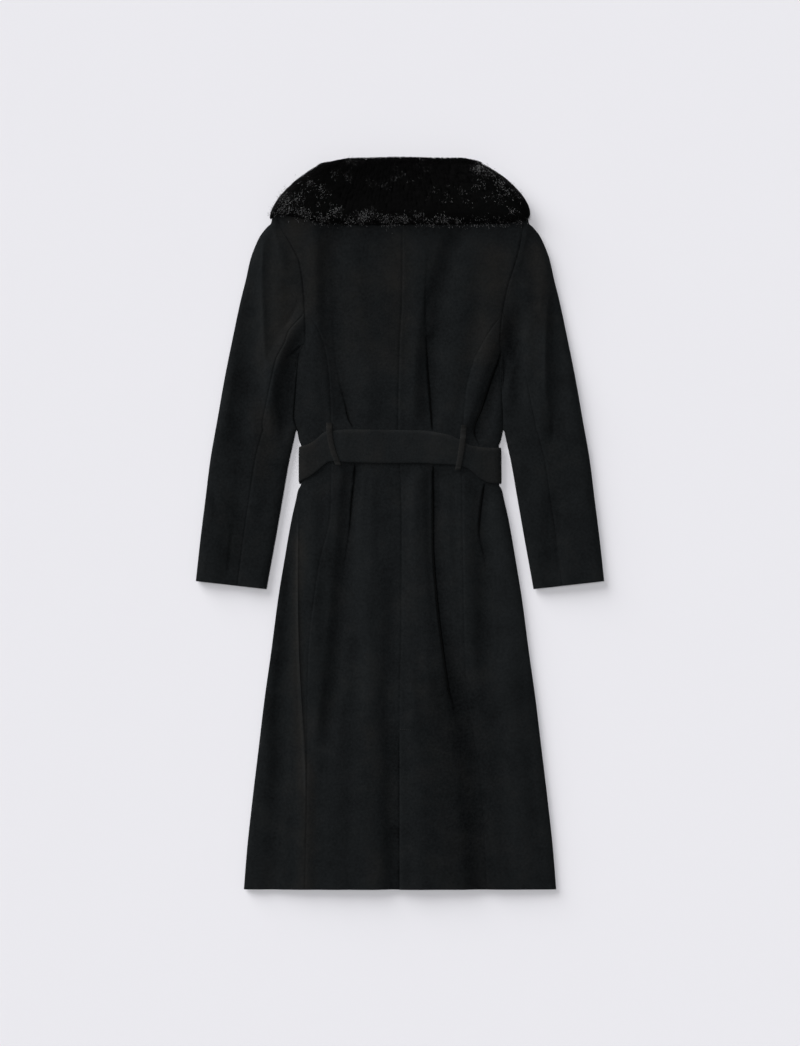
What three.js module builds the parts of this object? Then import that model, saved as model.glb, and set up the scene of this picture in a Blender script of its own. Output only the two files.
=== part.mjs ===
// A long belted coat of heavy coating cloth with a wide fur collar, laid flat with its back up.
//
// The pieces are those a maker cuts and sews: two centre backs with a vent, two side backs, two
// wrapped fronts, a top sleeve and an under sleeve on each side, the collar stand, the fur collar,
// the belt and its two loops. The fronts lie on the table, the back lies over them, and each side
// edge and sleeve edge is a soft fold.
//
// Frame: X across the coat, Y from hem to collar, Z up from the table. The origin is on the table,
// at the middle of the laid coat. Lengths are in millimetres. "left" and "right" are the sides as
// seen from above, and side is -1 on the left and 1 on the right.
import * as THREE from "three";

// A table's rows with their columns named.
const table = (columns, rows) => {
  return rows.map((row) => Object.fromEntries(columns.map((column, i) => [column, row[i]])));
};

// ---------------------------------------------------------------- driving sizes
const CLOTH = 2.4; // thickness of the coating cloth
const SEAM_GAP = 0.3; // between two pieces that are sewn together
const REST_GAP = 0.5; // between a piece and what it lies on
const HEM_Y = -622; // the laid coat runs from here ...
const ROLL_Y = 600; // ... to the collar's roll line, and the fur stands 22 past it
const UPPER_FOLD_RADIUS = 15; // how softly the back rolls down to a side edge
const LOWER_FOLD_RADIUS = 8; // and how softly the front rolls up to it
const UNDERARM_Y = 294;
const UNDERARM_BLEND = 16; // length over which the armhole turns into two side edges
const WRAP = 45; // how far each front passes the centre
const WRAP_LIFT = CLOTH + 1.2; // the upper front lies this much higher there ...
const WRAP_RAMP = [50, 70]; // ... and comes down past the lower front's edge
const BELT_THICKNESS = 3.4;
const BELT_FRONT = { y: 97, half: 28, overlap: 28 }; // the hidden stretch, closed end over end
const BELT_RAMP = [34, 50]; // past its overlapped ends the belt comes down to the table
const BELT_GAP = 0.7; // between the belt and the coat
const BELT_LIFT = BELT_THICKNESS + BELT_GAP; // the fronts ride over the belt
const COLLAR_LIFT = 9.3; // and over the collar's flattened front halves
const VENT_TOP = -352;
const VENT_UNDERLAP = 40;
const LOOP_WIDTH = 10;
const LOOP_THICKNESS = 2.4;

// Half width of the body on each side: the armhole down to the underarm, then the side edge.
const BODY_EDGE = [
  { y: 521, left: 208, right: 208 },
  { y: 502, left: 202, right: 208 },
  { y: 470, left: 184, right: 203 },
  { y: 440, left: 170.5, right: 195 },
  { y: 394, left: 164, right: 181 },
  { y: 338, left: 161.3, right: 171.5 },
  { y: 310, left: 161.5, right: 170 },
  { y: UNDERARM_Y, left: 168, right: 171.2 },
  { y: 280, left: 175.2, right: 171.8 },
  { y: 252, left: 177.3, right: 172.8 },
  { y: 210, left: 180.3, right: 174.2 },
  { y: 180, left: 182.3, right: 176 },
  { y: 165, left: 179, right: 176 },
  { y: 157, left: 174.8, right: 174.8 },
  { y: 141, left: 171.5, right: 171.5 },
  { y: 129, left: 167.5, right: 167.5 },
  { y: 97, left: 167.5, right: 167.5 },
  { y: 66, left: 168, right: 168 },
  { y: 56, left: 173, right: 173 },
  { y: 39, left: 176.8, right: 176.8 },
  { y: 5, left: 184.5, right: 184.5 },
  { y: -63, left: 196.4, right: 196.4 },
  { y: -131, left: 207.4, right: 207.4 },
  { y: -216, left: 218.5, right: 218.5 },
  { y: -301, left: 230.4, right: 230.4 },
  { y: -386, left: 240.6, right: 240.6 },
  { y: -471, left: 250.8, right: 250.8 },
  { y: -556, left: 260, right: 260 },
  { y: HEM_Y, left: 265.2, right: 265.2 },
];

// The seam between centre back and side back, from the armhole to the hem.
const PRINCESS_TOP = { left: 362, right: 352 };
const PRINCESS_SEAM = [
  { y: 362, left: 160.5, right: 180 },
  { y: 352, left: 154, right: 172 },
  { y: 328, left: 139.4, right: 154 },
  { y: 300, left: 129, right: 137 },
  { y: 273, left: 123.3, right: 124 },
  { y: 224, left: 119, right: 112 },
  { y: 166, left: 117, right: 107 },
  { y: 97, left: 117, right: 105 },
  { y: 22, left: 118, right: 105.5 },
  { y: -78, left: 139, right: 107 },
  { y: -233, left: 156, right: 110 },
  { y: -308, left: 157, right: 116 },
  { y: -357, left: 157, right: 125 },
  { y: -457, left: 158, right: 139 },
  { y: HEM_Y, left: 161, right: 148 },
];

// The centre back seam wanders a little as the cloth lies.
const CENTRE_SEAM = [
  { y: 560, x: 5 },
  { y: 380, x: 3 },
  { y: 300, x: -1 },
  { y: 170, x: -3.4 },
  { y: 120, x: -2 },
  { y: 10, x: 2.5 },
  { y: -180, x: 1.7 },
  { y: -310, x: -1 },
  { y: HEM_Y, x: -1 },
];

// Upper edges of the back and of the front.
const NECK_POINT = { x: 94, y: 566 };
const SHOULDER_POINT = { x: 208, y: 521 };
const BACK_NECK = [
  { x: 0, y: 548 },
  { x: 31, y: 549 },
  { x: 62, y: 553.5 },
  { x: 82, y: 560 },
  { x: NECK_POINT.x, y: NECK_POINT.y },
];
const FRONT_NECK_SLOPE = 1.43; // fall of the front neckline for each millimetre towards the wrap

// Height of the back above the table, at the middle and where the side edge starts to roll.
const LOFT = [
  { y: 600, middle: 24, side: 20.5 },
  { y: 520, middle: 23.5, side: 20 },
  { y: 450, middle: 23, side: 19.5 },
  { y: 350, middle: 22, side: 17.5 },
  { y: 220, middle: 20.5, side: 14.5 },
  { y: 160, middle: 19, side: 13.6 },
  { y: 97, middle: 17.8, side: 13.4 },
  { y: 40, middle: 19, side: 13.4 },
  { y: -40, middle: 20, side: 13.2 },
  { y: -350, middle: 20.5, side: 13 },
  { y: HEM_Y, middle: 18.5, side: 12 },
];

// Long edges of a laid sleeve, and the height of its upper side.
const SLEEVE_OUTER = [
  { y: 523, x: 216 },
  { y: 508, x: 219 },
  { y: 503, x: 225 },
  { y: 498, x: 229.5 },
  { y: 488, x: 237.2 },
  { y: 472.6, x: 244.8 },
  { y: 447, x: 254.2 },
  { y: 413, x: 261.8 },
  { y: 379, x: 270.3 },
  { y: 311, x: 284.8 },
  { y: 243, x: 298.4 },
  { y: 175, x: 310.3 },
  { y: 107, x: 322.2 },
  { y: 39, x: 330.7 },
  { y: -29, x: 339.2 },
  { y: -98.6, x: 346.8 },
];
const SLEEVE_CLEARANCE = 1.1; // between the sleeve and the side edge that it lies against
const SLEEVE_INNER = [
  { y: 157, x: 177 },
  { y: 140, x: 180.4 },
  { y: 107, x: 187.9 },
  { y: 39, x: 199.8 },
  { y: -29, x: 211.7 },
  { y: -97, x: 224 },
  { y: -112.2, x: 226.6 },
];
// Rows across the sleeve, from cap to cuff: where each meets the two edges.
const SLEEVE_ROWS = [
  { outer: 521, inner: 518.5 },
  { outer: 513, inner: 508 },
  { outer: 504, inner: 500 },
  { outer: 490, inner: 482 },
  { outer: 468, inner: 462 },
  { outer: 444, inner: 440 },
  { outer: 420, inner: 418 },
  { outer: 395, inner: 394 },
  { outer: 367, inner: 368 },
  { outer: 344, inner: 346 },
  { outer: 320, inner: 322 },
  { outer: 300, inner: 305 },
  { outer: 287, inner: UNDERARM_Y },
  { outer: 275, inner: 284 },
  { outer: 262, inner: 274 },
  { outer: 238, inner: 250 },
  { outer: 208, inner: 218 },
  { outer: 178, inner: 186 },
  { outer: 158, inner: 165 },
  { outer: 139, inner: 144 },
  { outer: 105, inner: 108 },
  { outer: 62, inner: 62 },
  { outer: 20, inner: 16 },
  { outer: -30, inner: -38 },
  { outer: -68, inner: -80 },
  { outer: -98.6, inner: -112.2 },
];
const SLEEVE_LOFT = 14.5;
const SLEEVE_CROWN = 2;
// The elbow seam shows on the upper side: its share of the way from the inner to the outer edge.
const ELBOW_SEAM = [
  { y: 352, share: 0.04 },
  { y: 322, share: 0.24 },
  { y: 274, share: 0.31 },
  { y: 218, share: 0.36 },
  { y: 108, share: 0.43 },
  { y: 16, share: 0.43 },
  { y: -112.2, share: 0.41 },
];
const FRONT_SEAM_SHARE = 0.2; // the seam under the sleeve, from the inner edge

// Folds in the laid cloth. Each runs along its own bowed line through three places. rise is its
// height, less than 0 for a trough, and reach is how far it spreads to each side.
const FOLDS = table(["name", "x1", "y1", "xm", "ym", "x2", "y2", "rise", "reach"], [
  // centre back, above the belt
  ["right dart fold", 71, 464, 61, 328, 54, 150, -5, 17],
  ["right lip", 42, 450, 38, 300, 40, 160, 2.6, 18],
  ["left dart fold", -116, 473, -108, 330, -83, 150, -5, 19],
  ["left lip", -84, 440, -74, 300, -58, 170, 2.4, 20],
  ["armpit fold", 172, 300, 149, 237, 127, 165, -5.5, 18],
  ["armpit lip", 148, 300, 130, 240, 116, 175, 2.5, 19],
  ["left side puff", -150, 300, -148, 235, -145, 165, 2.2, 24],
  // skirt, below the belt
  ["right pleat", 56, 93, 60, -70, 90, -310, -6.5, 12],
  ["right pleat lip", 40, 70, 43, -90, 68, -290, 3, 19],
  ["right low valley", 78, -250, 92, -400, 112, -600, -4, 30],
  ["left pleat", -78, 93, -92, -60, -116, -240, -6, 20],
  ["left pleat lip", -52, 70, -58, -90, -88, -330, 2.8, 24],
  ["left inner dent", -49, 90, -50, 40, -51, -30, -2, 10],
  ["left side ridge", -170, 30, -172, -200, -158, -480, 4, 24],
  ["left side trough", -150, 40, -146, -160, -138, -380, -2.6, 22],
  ["right hip fold", 143, 66, 136, -30, 141, -190, -4.5, 18],
  ["right hip ridge", 165, 30, 168, -90, 180, -260, 2.5, 20],
  ["centre ridge", 22, 60, 22, -120, 26, -330, 1.8, 20],
  ["left hem wave", -205, -420, -212, -520, -220, -640, -3, 22],
  ["left hem swell", -95, -420, -92, -520, -90, -640, 2.4, 34],
  ["right hem swell", 176, -420, 182, -520, 188, -640, 2.6, 32],
  // left sleeve
  ["left cap ridge", -233, 485, -233, 337, -212, 165, 2.6, 22],
  ["left armpit lip", -170, 332, -204, 285, -219, 200, 4.2, 24],
  ["left armpit trough", -172, 298, -193, 262, -199, 165, -4.4, 20],
  ["left outer valley", -258, 372, -274, 215, -291, 100, -3, 26],
  ["left elbow dent", -328, 62, -318, 34, -306, 6, -3, 20],
  ["left elbow swell", -296, 90, -292, 45, -284, 0, 2.2, 26],
  ["left cuff dent", -284, 0, -289, -50, -296, -105, -2.8, 22],
  // right sleeve
  ["right cap ridge", 252, 415, 246, 320, 252, 140, 2.8, 22],
  ["right outer valley", 264, 350, 264, 200, 268, 30, -3, 24],
  ["right armpit dent", 190, 388, 196, 318, 195, 245, -3, 22],
  ["right inner swell", 214, 280, 218, 200, 232, 80, 2.2, 26],
  ["right cuff dent", 256, 5, 262, -45, 270, -105, -3, 22],
]);
const FOLD_FADE = 45; // length over which a fold dies out at each end
const BELT_PRESS = 0.85; // share of a fold that the belt presses out

// The belt's middle line and half height across the back.
const BELT_BACK = [
  { x: -172, y: 97, half: 31 },
  { x: -145, y: 111, half: 27 },
  { x: -117, y: 130, half: 26 },
  { x: -85, y: 130.5, half: 28 },
  { x: -30, y: 129.5, half: 28.5 },
  { x: 30, y: 129, half: 28 },
  { x: 75, y: 125, half: 26 },
  { x: 100, y: 119, half: 22 },
  { x: 116, y: 112, half: 21 },
  { x: 135, y: 102, half: 27 },
  { x: 152, y: 97.5, half: 30 },
  { x: 172, y: 97, half: 31 },
];
const LOOPS = [
  { name: "belt_loop_left", topX: -119.5, topY: 170, footX: -107, footY: 98 },
  { name: "belt_loop_right", topX: 108.5, topY: 166, footX: 99, footY: 88 },
];

// The fur collar, station by station from the centre back to the front end of one half. roll and
// edge are the two long edges of its skin side, level is the height of that side, and turn is the
// way the fur stands: 90 is up, 0 is outwards over the shoulder and -90 is down to the table.
// out bows the skin side outwards, fur is its depth, and droop lets the roll hang over the neck.
// leftRise lifts the edge up the coat in the left half, where the fall's tip lies higher.
const STATION_COLUMNS = ["rollX", "rollY", "edgeX", "edgeY", "leftRise", "level", "turn", "out", "fur", "droop"];
const COLLAR_STATIONS = table(STATION_COLUMNS, [
  [0, 600, 0, 507, 0, 24.6, 90, 0, 21, 1],
  [32, 600, 48, 507, 0, 24.6, 90, 0, 21, 1],
  [64, 600, 95, 507, 1, 24.6, 90, 0, 21, 1],
  [92, 600, 138, 507, 5, 24.6, 90, 1, 20.5, 0.9],
  [112, 599, 176, 507, 12, 24.4, 86, 2, 20, 0.7],
  [124, 597, 203, 508, 18, 24, 70, 4, 18, 0.45],
  [129, 595, 212, 515, 11, 22.5, 38, 5, 15, 0.2],
  [130, 592, 214, 525, 3, 15.5, 0, 6, 14, 0],
  [125, 587, 210.5, 525, 0, 8.8, -38, 5, 12, 0],
  [114, 578, 203, 506, 0, 8.6, -70, 4, 9, 0],
  [99, 564, 193, 482, 0, 8.6, -90, 2, 8.6, 0],
  [79, 545, 172, 446, 0, 8.6, -90, 0, 8.6, 0],
  [56, 516, 138, 410, 0, 8.6, -90, 0, 8.6, 0],
  [34, 484, 82, 372, 0, 8.6, -90, 0, 8.6, 0],
  [14, 455, 14, 350, 0, 8.6, -90, 0, 8.6, 0],
]);
// Lower edge of the collar's front halves, where the fronts start to climb over them.
const COLLAR_FRONT_EDGE = [
  { x: 0, y: 343 },
  { x: 60, y: 356 },
  { x: 110, y: 385 },
  { x: 150, y: 415 },
  { x: 178, y: 446 },
  { x: 200, y: 480 },
  { x: 214, y: 525 },
  { x: 230, y: 570 },
];
// Section of the fur: how far past the roll or edge, and how high, in fur depths.
const ROLL_SECTION = [
  { past: 0.2, high: -0.34, droops: true },
  { past: 0.62, high: -0.36, droops: true },
  { past: 0.92, high: 0.02, droops: false },
  { past: 0.97, high: 0.42, droops: false },
  { past: 0.72, high: 0.78, droops: false },
];
const FUR_DEPTH = [
  { across: 0, share: 0.97 },
  { across: 0.35, share: 1 },
  { across: 0.7, share: 0.9 },
  { across: 0.92, share: 0.6 },
];
const FUR_EDGE = { past: 0.12, high: 0.22 };

// ---------------------------------------------------------------- small tools
const clamp = THREE.MathUtils.clamp;
const lerp = THREE.MathUtils.lerp;
const smooth = (from, to, at) => {
  const t = clamp((at - from) / (to - from), 0, 1);
  return t * t * (3 - 2 * t);
};
const sideName = (side) => (side < 0 ? "left" : "right");

// A smooth line through a table's rows that never overshoots them: value against along.
function track(rows, along, value) {
  const sorted = [...rows].sort((p, q) => p[along] - q[along]);
  const at = sorted.map((row) => row[along]);
  const to = sorted.map((row) => row[value]);
  const slopes = at.slice(1).map((a, i) => (to[i + 1] - to[i]) / (a - at[i]));
  const tangents = at.map((_, i) => {
    if (i === 0 || i === slopes.length) return slopes[Math.min(i, slopes.length - 1)];
    const before = slopes[i - 1];
    const after = slopes[i];
    return before * after <= 0 ? 0 : (2 * before * after) / (before + after);
  });
  return (a) => {
    if (a <= at[0]) return to[0];
    if (a >= at.at(-1)) return to.at(-1);
    const i = at.findIndex((next) => next > a) - 1;
    const span = at[i + 1] - at[i];
    const t = (a - at[i]) / span;
    const h = t * t * (3 - 2 * t);
    return (
      to[i] * (1 - h) +
      to[i + 1] * h +
      span * (tangents[i] * t * (1 - t) * (1 - t) - tangents[i + 1] * t * t * (1 - t))
    );
  };
}

const bothSides = (rows) => ({ left: track(rows, "y", "left"), right: track(rows, "y", "right") });
const bodyEdgeTracks = bothSides(BODY_EDGE);
const princessTracks = bothSides(PRINCESS_SEAM);
const bodyEdge = (side, y) => bodyEdgeTracks[sideName(side)](y);
const princess = (side, y) => princessTracks[sideName(side)](y);
const centreSeam = track(CENTRE_SEAM, "y", "x");
const loftMiddle = track(LOFT, "y", "middle");
const loftSide = track(LOFT, "y", "side");
const sleeveOuter = track(SLEEVE_OUTER, "y", "x");
const sleeveInnerFree = track(SLEEVE_INNER, "y", "x");
const elbowShare = track(ELBOW_SEAM, "y", "share");
const beltY = track(BELT_BACK, "x", "y");
const beltHalf = track(BELT_BACK, "x", "half");
const backNeck = track(BACK_NECK, "x", "y");
const collarFrontEdge = track(COLLAR_FRONT_EDGE, "x", "y");
const furDepth = track(FUR_DEPTH, "across", "share");

// ---------------------------------------------------------------- heights
// 1 on the belt and 0 well away from it.
function underBelt(x, y) {
  const away = Math.abs(y - beltY(x)) - beltHalf(x);
  return 1 - smooth(-4, 34, away);
}

function foldHeight(x, y) {
  let height = 0;
  for (const f of FOLDS) {
    const span = f.y2 - f.y1;
    const t = (y - f.y1) / span;
    const middle = (f.ym - f.y1) / span;
    const bow = f.xm - lerp(f.x1, f.x2, middle);
    const lineX = lerp(f.x1, f.x2, t) + (bow * t * (1 - t)) / (middle * (1 - middle));
    const away = Math.abs(x - lineX) / f.reach;
    if (away >= 1) continue;
    const fade = FOLD_FADE / Math.abs(span);
    const along = smooth(-fade * 0.4, fade * 0.6, t) * (1 - smooth(1 - fade * 0.6, 1 + fade * 0.4, t));
    height += f.rise * (1 - away * away) ** 2 * along;
  }
  return height * (1 - BELT_PRESS * underBelt(x, y));
}

// How far the fronts, and the sleeves beside them, are held off the table.
function frontLift(x, y) {
  const collar = COLLAR_LIFT * smooth(-68, -22, y - collarFrontEdge(Math.abs(x)));
  const beltAway = Math.abs(y - BELT_FRONT.y) - BELT_FRONT.half;
  const doubled = 1 - smooth(...BELT_RAMP, Math.abs(x));
  const onBody = 1 - smooth(172, 182, Math.abs(x));
  const belt = BELT_LIFT * (1 + doubled) * (1 - smooth(5, 22, beltAway)) * onBody;
  return Math.max(collar, belt);
}

// Height of the back's outer face before its edges roll down.
function backHeight(x, y) {
  const side = Math.sign(x) || 1;
  const share = clamp(Math.abs(x) / bodyEdge(side, y), 0, 1);
  return lerp(loftMiddle(y), loftSide(y), share * share) + foldHeight(x, y);
}

// Height of the fold line along a side edge or a shoulder, midway between front and back.
const foldLine = (x, y) => (frontLift(x, y) + backHeight(x, y)) / 2;

// A cloth face that is flat at flatZ and rolls over to edgeZ where inset runs out.
function rollOver(inset, radius, flatZ, edgeZ) {
  const reach = Math.min(radius, 2 * Math.abs(flatZ - edgeZ));
  if (inset >= reach) return { inset, z: flatZ };
  const angle = ((1 - Math.max(inset, 0) / reach) * Math.PI) / 2;
  return { inset: reach * (1 - Math.sin(angle)), z: lerp(edgeZ, flatZ, Math.cos(angle)) };
}

// ---------------------------------------------------------------- cloth walls
// A closed wall of cloth. face(a, b) is its outer face and grid[row][column] holds [a, b] places on
// it. The thickness goes inwards: outward is 1 where a crossed with b points out of the coat, and -1
// where it points in. A place that is null has no cloth.
function clothWall(face, grid, outward) {
  const outer = [];
  const inner = [];
  const numbered = grid.map((row) =>
    row.map((place) => {
      if (!place) return -1;
      const [a, b] = place;
      const at = face(a, b);
      const step = 0.4;
      const alongA = face(a + step, b).sub(face(a - step, b));
      const alongB = face(a, b + step).sub(face(a, b - step));
      const normal = alongA.cross(alongB).normalize().multiplyScalar(outward);
      outer.push(at);
      inner.push(at.clone().addScaledVector(normal, -CLOTH));
      return outer.length - 1;
    }),
  );
  const points = [...outer, ...inner];
  const deep = outer.length;
  const faces = [];
  const rims = new Map();
  const addFace = (loop) => {
    for (let i = 1; i + 1 < loop.length; i++) faces.push([loop[0], loop[i], loop[i + 1]]);
    loop.forEach((p, i) => {
      const q = loop[(i + 1) % loop.length];
      if (!rims.delete(`${q}_${p}`)) rims.set(`${p}_${q}`, [p, q]);
    });
  };
  for (let row = 0; row + 1 < numbered.length; row++) {
    for (let column = 0; column + 1 < numbered[row].length; column++) {
      const loop = [
        numbered[row][column],
        numbered[row][column + 1],
        numbered[row + 1][column + 1],
        numbered[row + 1][column],
      ];
      if (loop.includes(-1)) continue;
      addFace(loop);
    }
  }
  const outerFaces = faces.length;
  for (let i = 0; i < outerFaces; i++) faces.push(faces[i].map((p) => p + deep).reverse());
  for (const [p, q] of rims.values()) {
    // Both walls at a seam cut their rims the same way, so that they don't touch.
    if (outer[p].y < outer[q].y) faces.push([q, p, q + deep], [p, p + deep, q + deep]);
    else faces.push([q, p, p + deep], [q, p + deep, q + deep]);
  }
  return indexed(points, faces);
}

// A closed solid through rings of points, with both ends capped.
function ringSolid(rings) {
  const count = rings[0].length;
  const points = rings.flat();
  const faces = [];
  for (let r = 0; r + 1 < rings.length; r++) {
    for (let i = 0; i < count; i++) {
      const a = r * count + i;
      const b = r * count + ((i + 1) % count);
      faces.push([a, b, b + count], [a, b + count, a + count]);
    }
  }
  const last = (rings.length - 1) * count;
  for (let i = 1; i + 1 < count; i++) faces.push([0, i + 1, i], [last, last + i, last + i + 1]);
  return indexed(points, faces);
}

function indexed(points, faces) {
  const geometry = new THREE.BufferGeometry();
  const flat = points.flatMap((p) => p.toArray());
  geometry.setAttribute("position", new THREE.Float32BufferAttribute(flat, 3));
  geometry.setIndex(faces.flat());
  if (signedVolume(points, faces) < 0) geometry.setIndex(faces.map((f) => [...f].reverse()).flat());
  geometry.computeVertexNormals();
  return geometry;
}

function signedVolume(points, faces) {
  return faces.reduce((sum, [a, b, c]) => {
    return sum + points[a].dot(new THREE.Vector3().crossVectors(points[b], points[c])) / 6;
  }, 0);
}

// ---------------------------------------------------------------- body
// The shoulder seam's y at a distance from the middle.
function shoulderLine(x) {
  const t = (x - NECK_POINT.x) / (SHOULDER_POINT.x - NECK_POINT.x);
  return lerp(NECK_POINT.y, SHOULDER_POINT.y, t);
}

// Upper edge of the back at a distance from the middle.
const backTop = (x) => (x <= NECK_POINT.x ? backNeck(Math.max(x, 0)) : shoulderLine(x));

// A body panel's outer face: flat at flatZ, rolled over to foldZ along its side edge and shoulder.
function panelFace(side, x, y, flatZ, radius, gap) {
  const edge = bodyEdge(side, y);
  const inset = edge - side * x;
  const rolled = rollOver(inset, radius, flatZ, foldLine(side * edge, y) + gap);
  const rolling = smooth(UNDERARM_Y, UNDERARM_Y - UNDERARM_BLEND, y);
  const at = new THREE.Vector3(side * (edge - lerp(inset, rolled.inset, rolling)), y, 0);
  at.z = lerp(flatZ, rolled.z, rolling);
  const fromShoulder = shoulderLine(side * x) - y;
  if (side * x > NECK_POINT.x - 2 && fromShoulder < radius) {
    const top = rollOver(fromShoulder, radius, flatZ, foldLine(x, y) + gap);
    const fade = smooth(NECK_POINT.x - 2, NECK_POINT.x + 14, side * x);
    at.y = lerp(y, y + fromShoulder - top.inset, fade);
    at.z = lerp(flatZ, top.z, fade);
  }
  return at;
}

const backFace = (x, y) => panelFace(Math.sign(x) || 1, x, y, backHeight(x, y), UPPER_FOLD_RADIUS, 0);

// A front lies down on the table. The left one is the upper one of the wrap.
function frontFace(side, x, y) {
  const overWrap = side < 0 ? WRAP_LIFT * (1 - smooth(...WRAP_RAMP, -x)) : 0;
  return panelFace(side, x, y, frontLift(x, y) + overWrap, LOWER_FOLD_RADIUS, -REST_GAP);
}

// Rows down the body, by their y at the armhole and side edge. Towards the top they bend to follow
// the neck and the shoulder.
const ARMHOLE_ROWS = [521, 518.5, 514, 508, 500, 482, 462, 440, 418, 394, 368, 358, 346, 322, 305];
const WAIST_ROWS = [UNDERARM_Y, 284, 274, 250, 218, 186, 165, 152, 141, 130, 112, 97, 80, 66, 56];
const SKIRT_ROWS = [42, 12, -30, -80, -132, -180, -230, -280, -325, VENT_TOP];
const HEM_ROWS = [VENT_TOP - 12, -410, -460, -515, -570, HEM_Y];
const BACK_ROWS = [...ARMHOLE_ROWS, ...WAIST_ROWS, ...SKIRT_ROWS, ...HEM_ROWS];
const LEVEL_BELOW = 430;
const rowAt = (outerY, top) => {
  return outerY + (top - SHOULDER_POINT.y) * smooth(LEVEL_BELOW, SHOULDER_POINT.y, outerY);
};

// Columns of a centre back, by their x along the neck and shoulder.
const NECK_COLUMNS = [20, 40, 60, 79];
const BACK_COLUMNS = [...NECK_COLUMNS, NECK_POINT.x, 117, 141, 165, 188, SHOULDER_POINT.x];
const CENTRE_TOP = centreSeam(BACK_NECK[0].y);

// One centre back. The left one runs on under the right one below the vent's top.
function centreBack(side) {
  const seamX = side * CENTRE_TOP;
  const outerEdge = (y) => (y > PRINCESS_TOP[sideName(side)] ? bodyEdge(side, y) : princess(side, y));
  const grid = BACK_ROWS.map((outerY) => {
    const main = [seamX, ...BACK_COLUMNS].map((topX) => {
      const share = (topX - seamX) / (SHOULDER_POINT.x - seamX);
      const y = rowAt(outerY, backTop(topX));
      const inner = side * centreSeam(y) + SEAM_GAP / 2;
      return [side * lerp(inner, outerEdge(y) - SEAM_GAP / 2, share), y];
    });
    if (side > 0) return main;
    const underlap = [1, 0.6, 0.2].map((share) => {
      return outerY <= VENT_TOP ? [centreSeam(outerY) + share * VENT_UNDERLAP, outerY] : null;
    });
    return [...underlap, ...main];
  });
  return clothWall(side < 0 ? ventedFace : backFace, grid, 1);
}

// The left back's face dips beneath the right back's edge below the vent's top.
function ventedFace(x, y) {
  const at = backFace(x, y);
  const nearSeam = smooth(-30, -3, x - centreSeam(y));
  const belowTop = 1 - smooth(VENT_TOP, VENT_TOP + 14, y);
  at.z -= (CLOTH + REST_GAP) * nearSeam * belowTop;
  return at;
}

// The panel between the princess seam and the side edge. Its top is a point on the armhole.
function sideBack(side) {
  const first = BACK_ROWS.findIndex((y) => y < PRINCESS_TOP[sideName(side)]);
  const above = BACK_ROWS[first - 1];
  const below = BACK_ROWS[first];
  const tip = { y: lerp(above, below, 0.3), x: lerp(bodyEdge(side, above), princess(side, below), 0.3) };
  const columns = [0, 0.17, 0.34, 0.51, 0.67, 0.82, 0.93, 1];
  const rows = [tip, ...BACK_ROWS.slice(first).map((y) => ({ y, x: princess(side, y) }))];
  const grid = rows.map(({ y, x }) => {
    const outer = bodyEdge(side, y) - armholeGap(y);
    return columns.map((share) => [side * lerp(x + SEAM_GAP / 2, outer, share), y]);
  });
  return clothWall(backFace, grid, 1);
}

// Half a seam gap along the armhole, and nothing where the cloth turns under at a side edge.
const armholeGap = (y) => (SEAM_GAP / 2) * smooth(UNDERARM_Y - UNDERARM_BLEND, UNDERARM_Y, y);

const FRONT_WAIST_ROWS = [UNDERARM_Y, 284, 274, 250, 200, 160, 147, 138, 130, 97, 64, 56, 47, 30];
const FRONT_SKIRT_ROWS = [-40, -180, -330, -480, HEM_Y];
const FRONT_LEVEL_BELOW = 350; // below this the two fronts share their rows

function front(side) {
  const inWrap = [-WRAP, -BELT_RAMP[0], 0, ...BELT_RAMP, WRAP_RAMP[1]];
  const beside = [0.35, 0.7, 0.93, 0.97, 1];
  const armhole = ARMHOLE_ROWS.filter((y) => y !== 514 && y !== 358);
  const grid = [...armhole, ...FRONT_WAIST_ROWS, ...FRONT_SKIRT_ROWS].map((outerY) => {
    const spread = (outerY - FRONT_LEVEL_BELOW) / (SHOULDER_POINT.y - FRONT_LEVEL_BELOW);
    const place = (x, topX) => {
      const neck = NECK_POINT.y - (NECK_POINT.x - topX) * FRONT_NECK_SLOPE;
      const top = topX < NECK_POINT.x ? neck : shoulderLine(topX);
      return [side * x, outerY > FRONT_LEVEL_BELOW ? lerp(FRONT_LEVEL_BELOW, top, spread) : outerY];
    };
    const edge = bodyEdge(side, outerY) - armholeGap(outerY);
    const last = inWrap.at(-1);
    return [
      ...inWrap.map((x) => place(x, x)),
      ...beside.map((share) => place(lerp(last, edge, share), lerp(last, SHOULDER_POINT.x, share))),
    ];
  });
  return clothWall((x, y) => frontFace(side, x, y), grid, -1);
}

// ---------------------------------------------------------------- sleeves
// The inner edge follows the armhole, then the coat's side edge, and then hangs free.
function sleeveInner(side, y) {
  const free = sleeveInnerFree(y);
  if (y <= 157) return free;
  const clear = lerp(SEAM_GAP / 2, SLEEVE_CLEARANCE, smooth(UNDERARM_Y, UNDERARM_Y - UNDERARM_BLEND, y));
  return Math.max(bodyEdge(side, y) + clear, y < 175 ? free : 0);
}

const sleeveRowOuter = track(SLEEVE_ROWS.map((row, i) => ({ i, y: row.outer })), "i", "y");
const sleeveRowInner = track(SLEEVE_ROWS.map((row, i) => ({ i, y: row.inner })), "i", "y");

// The two ends of a row across the sleeve.
function sleeveRow(side, row) {
  const innerY = sleeveRowInner(row);
  const outerY = sleeveRowOuter(row);
  const inner = new THREE.Vector2(side * sleeveInner(side, innerY), innerY);
  const outer = new THREE.Vector2(side * sleeveOuter(outerY), outerY);
  return { inner, outer, width: inner.distanceTo(outer) };
}

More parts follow.
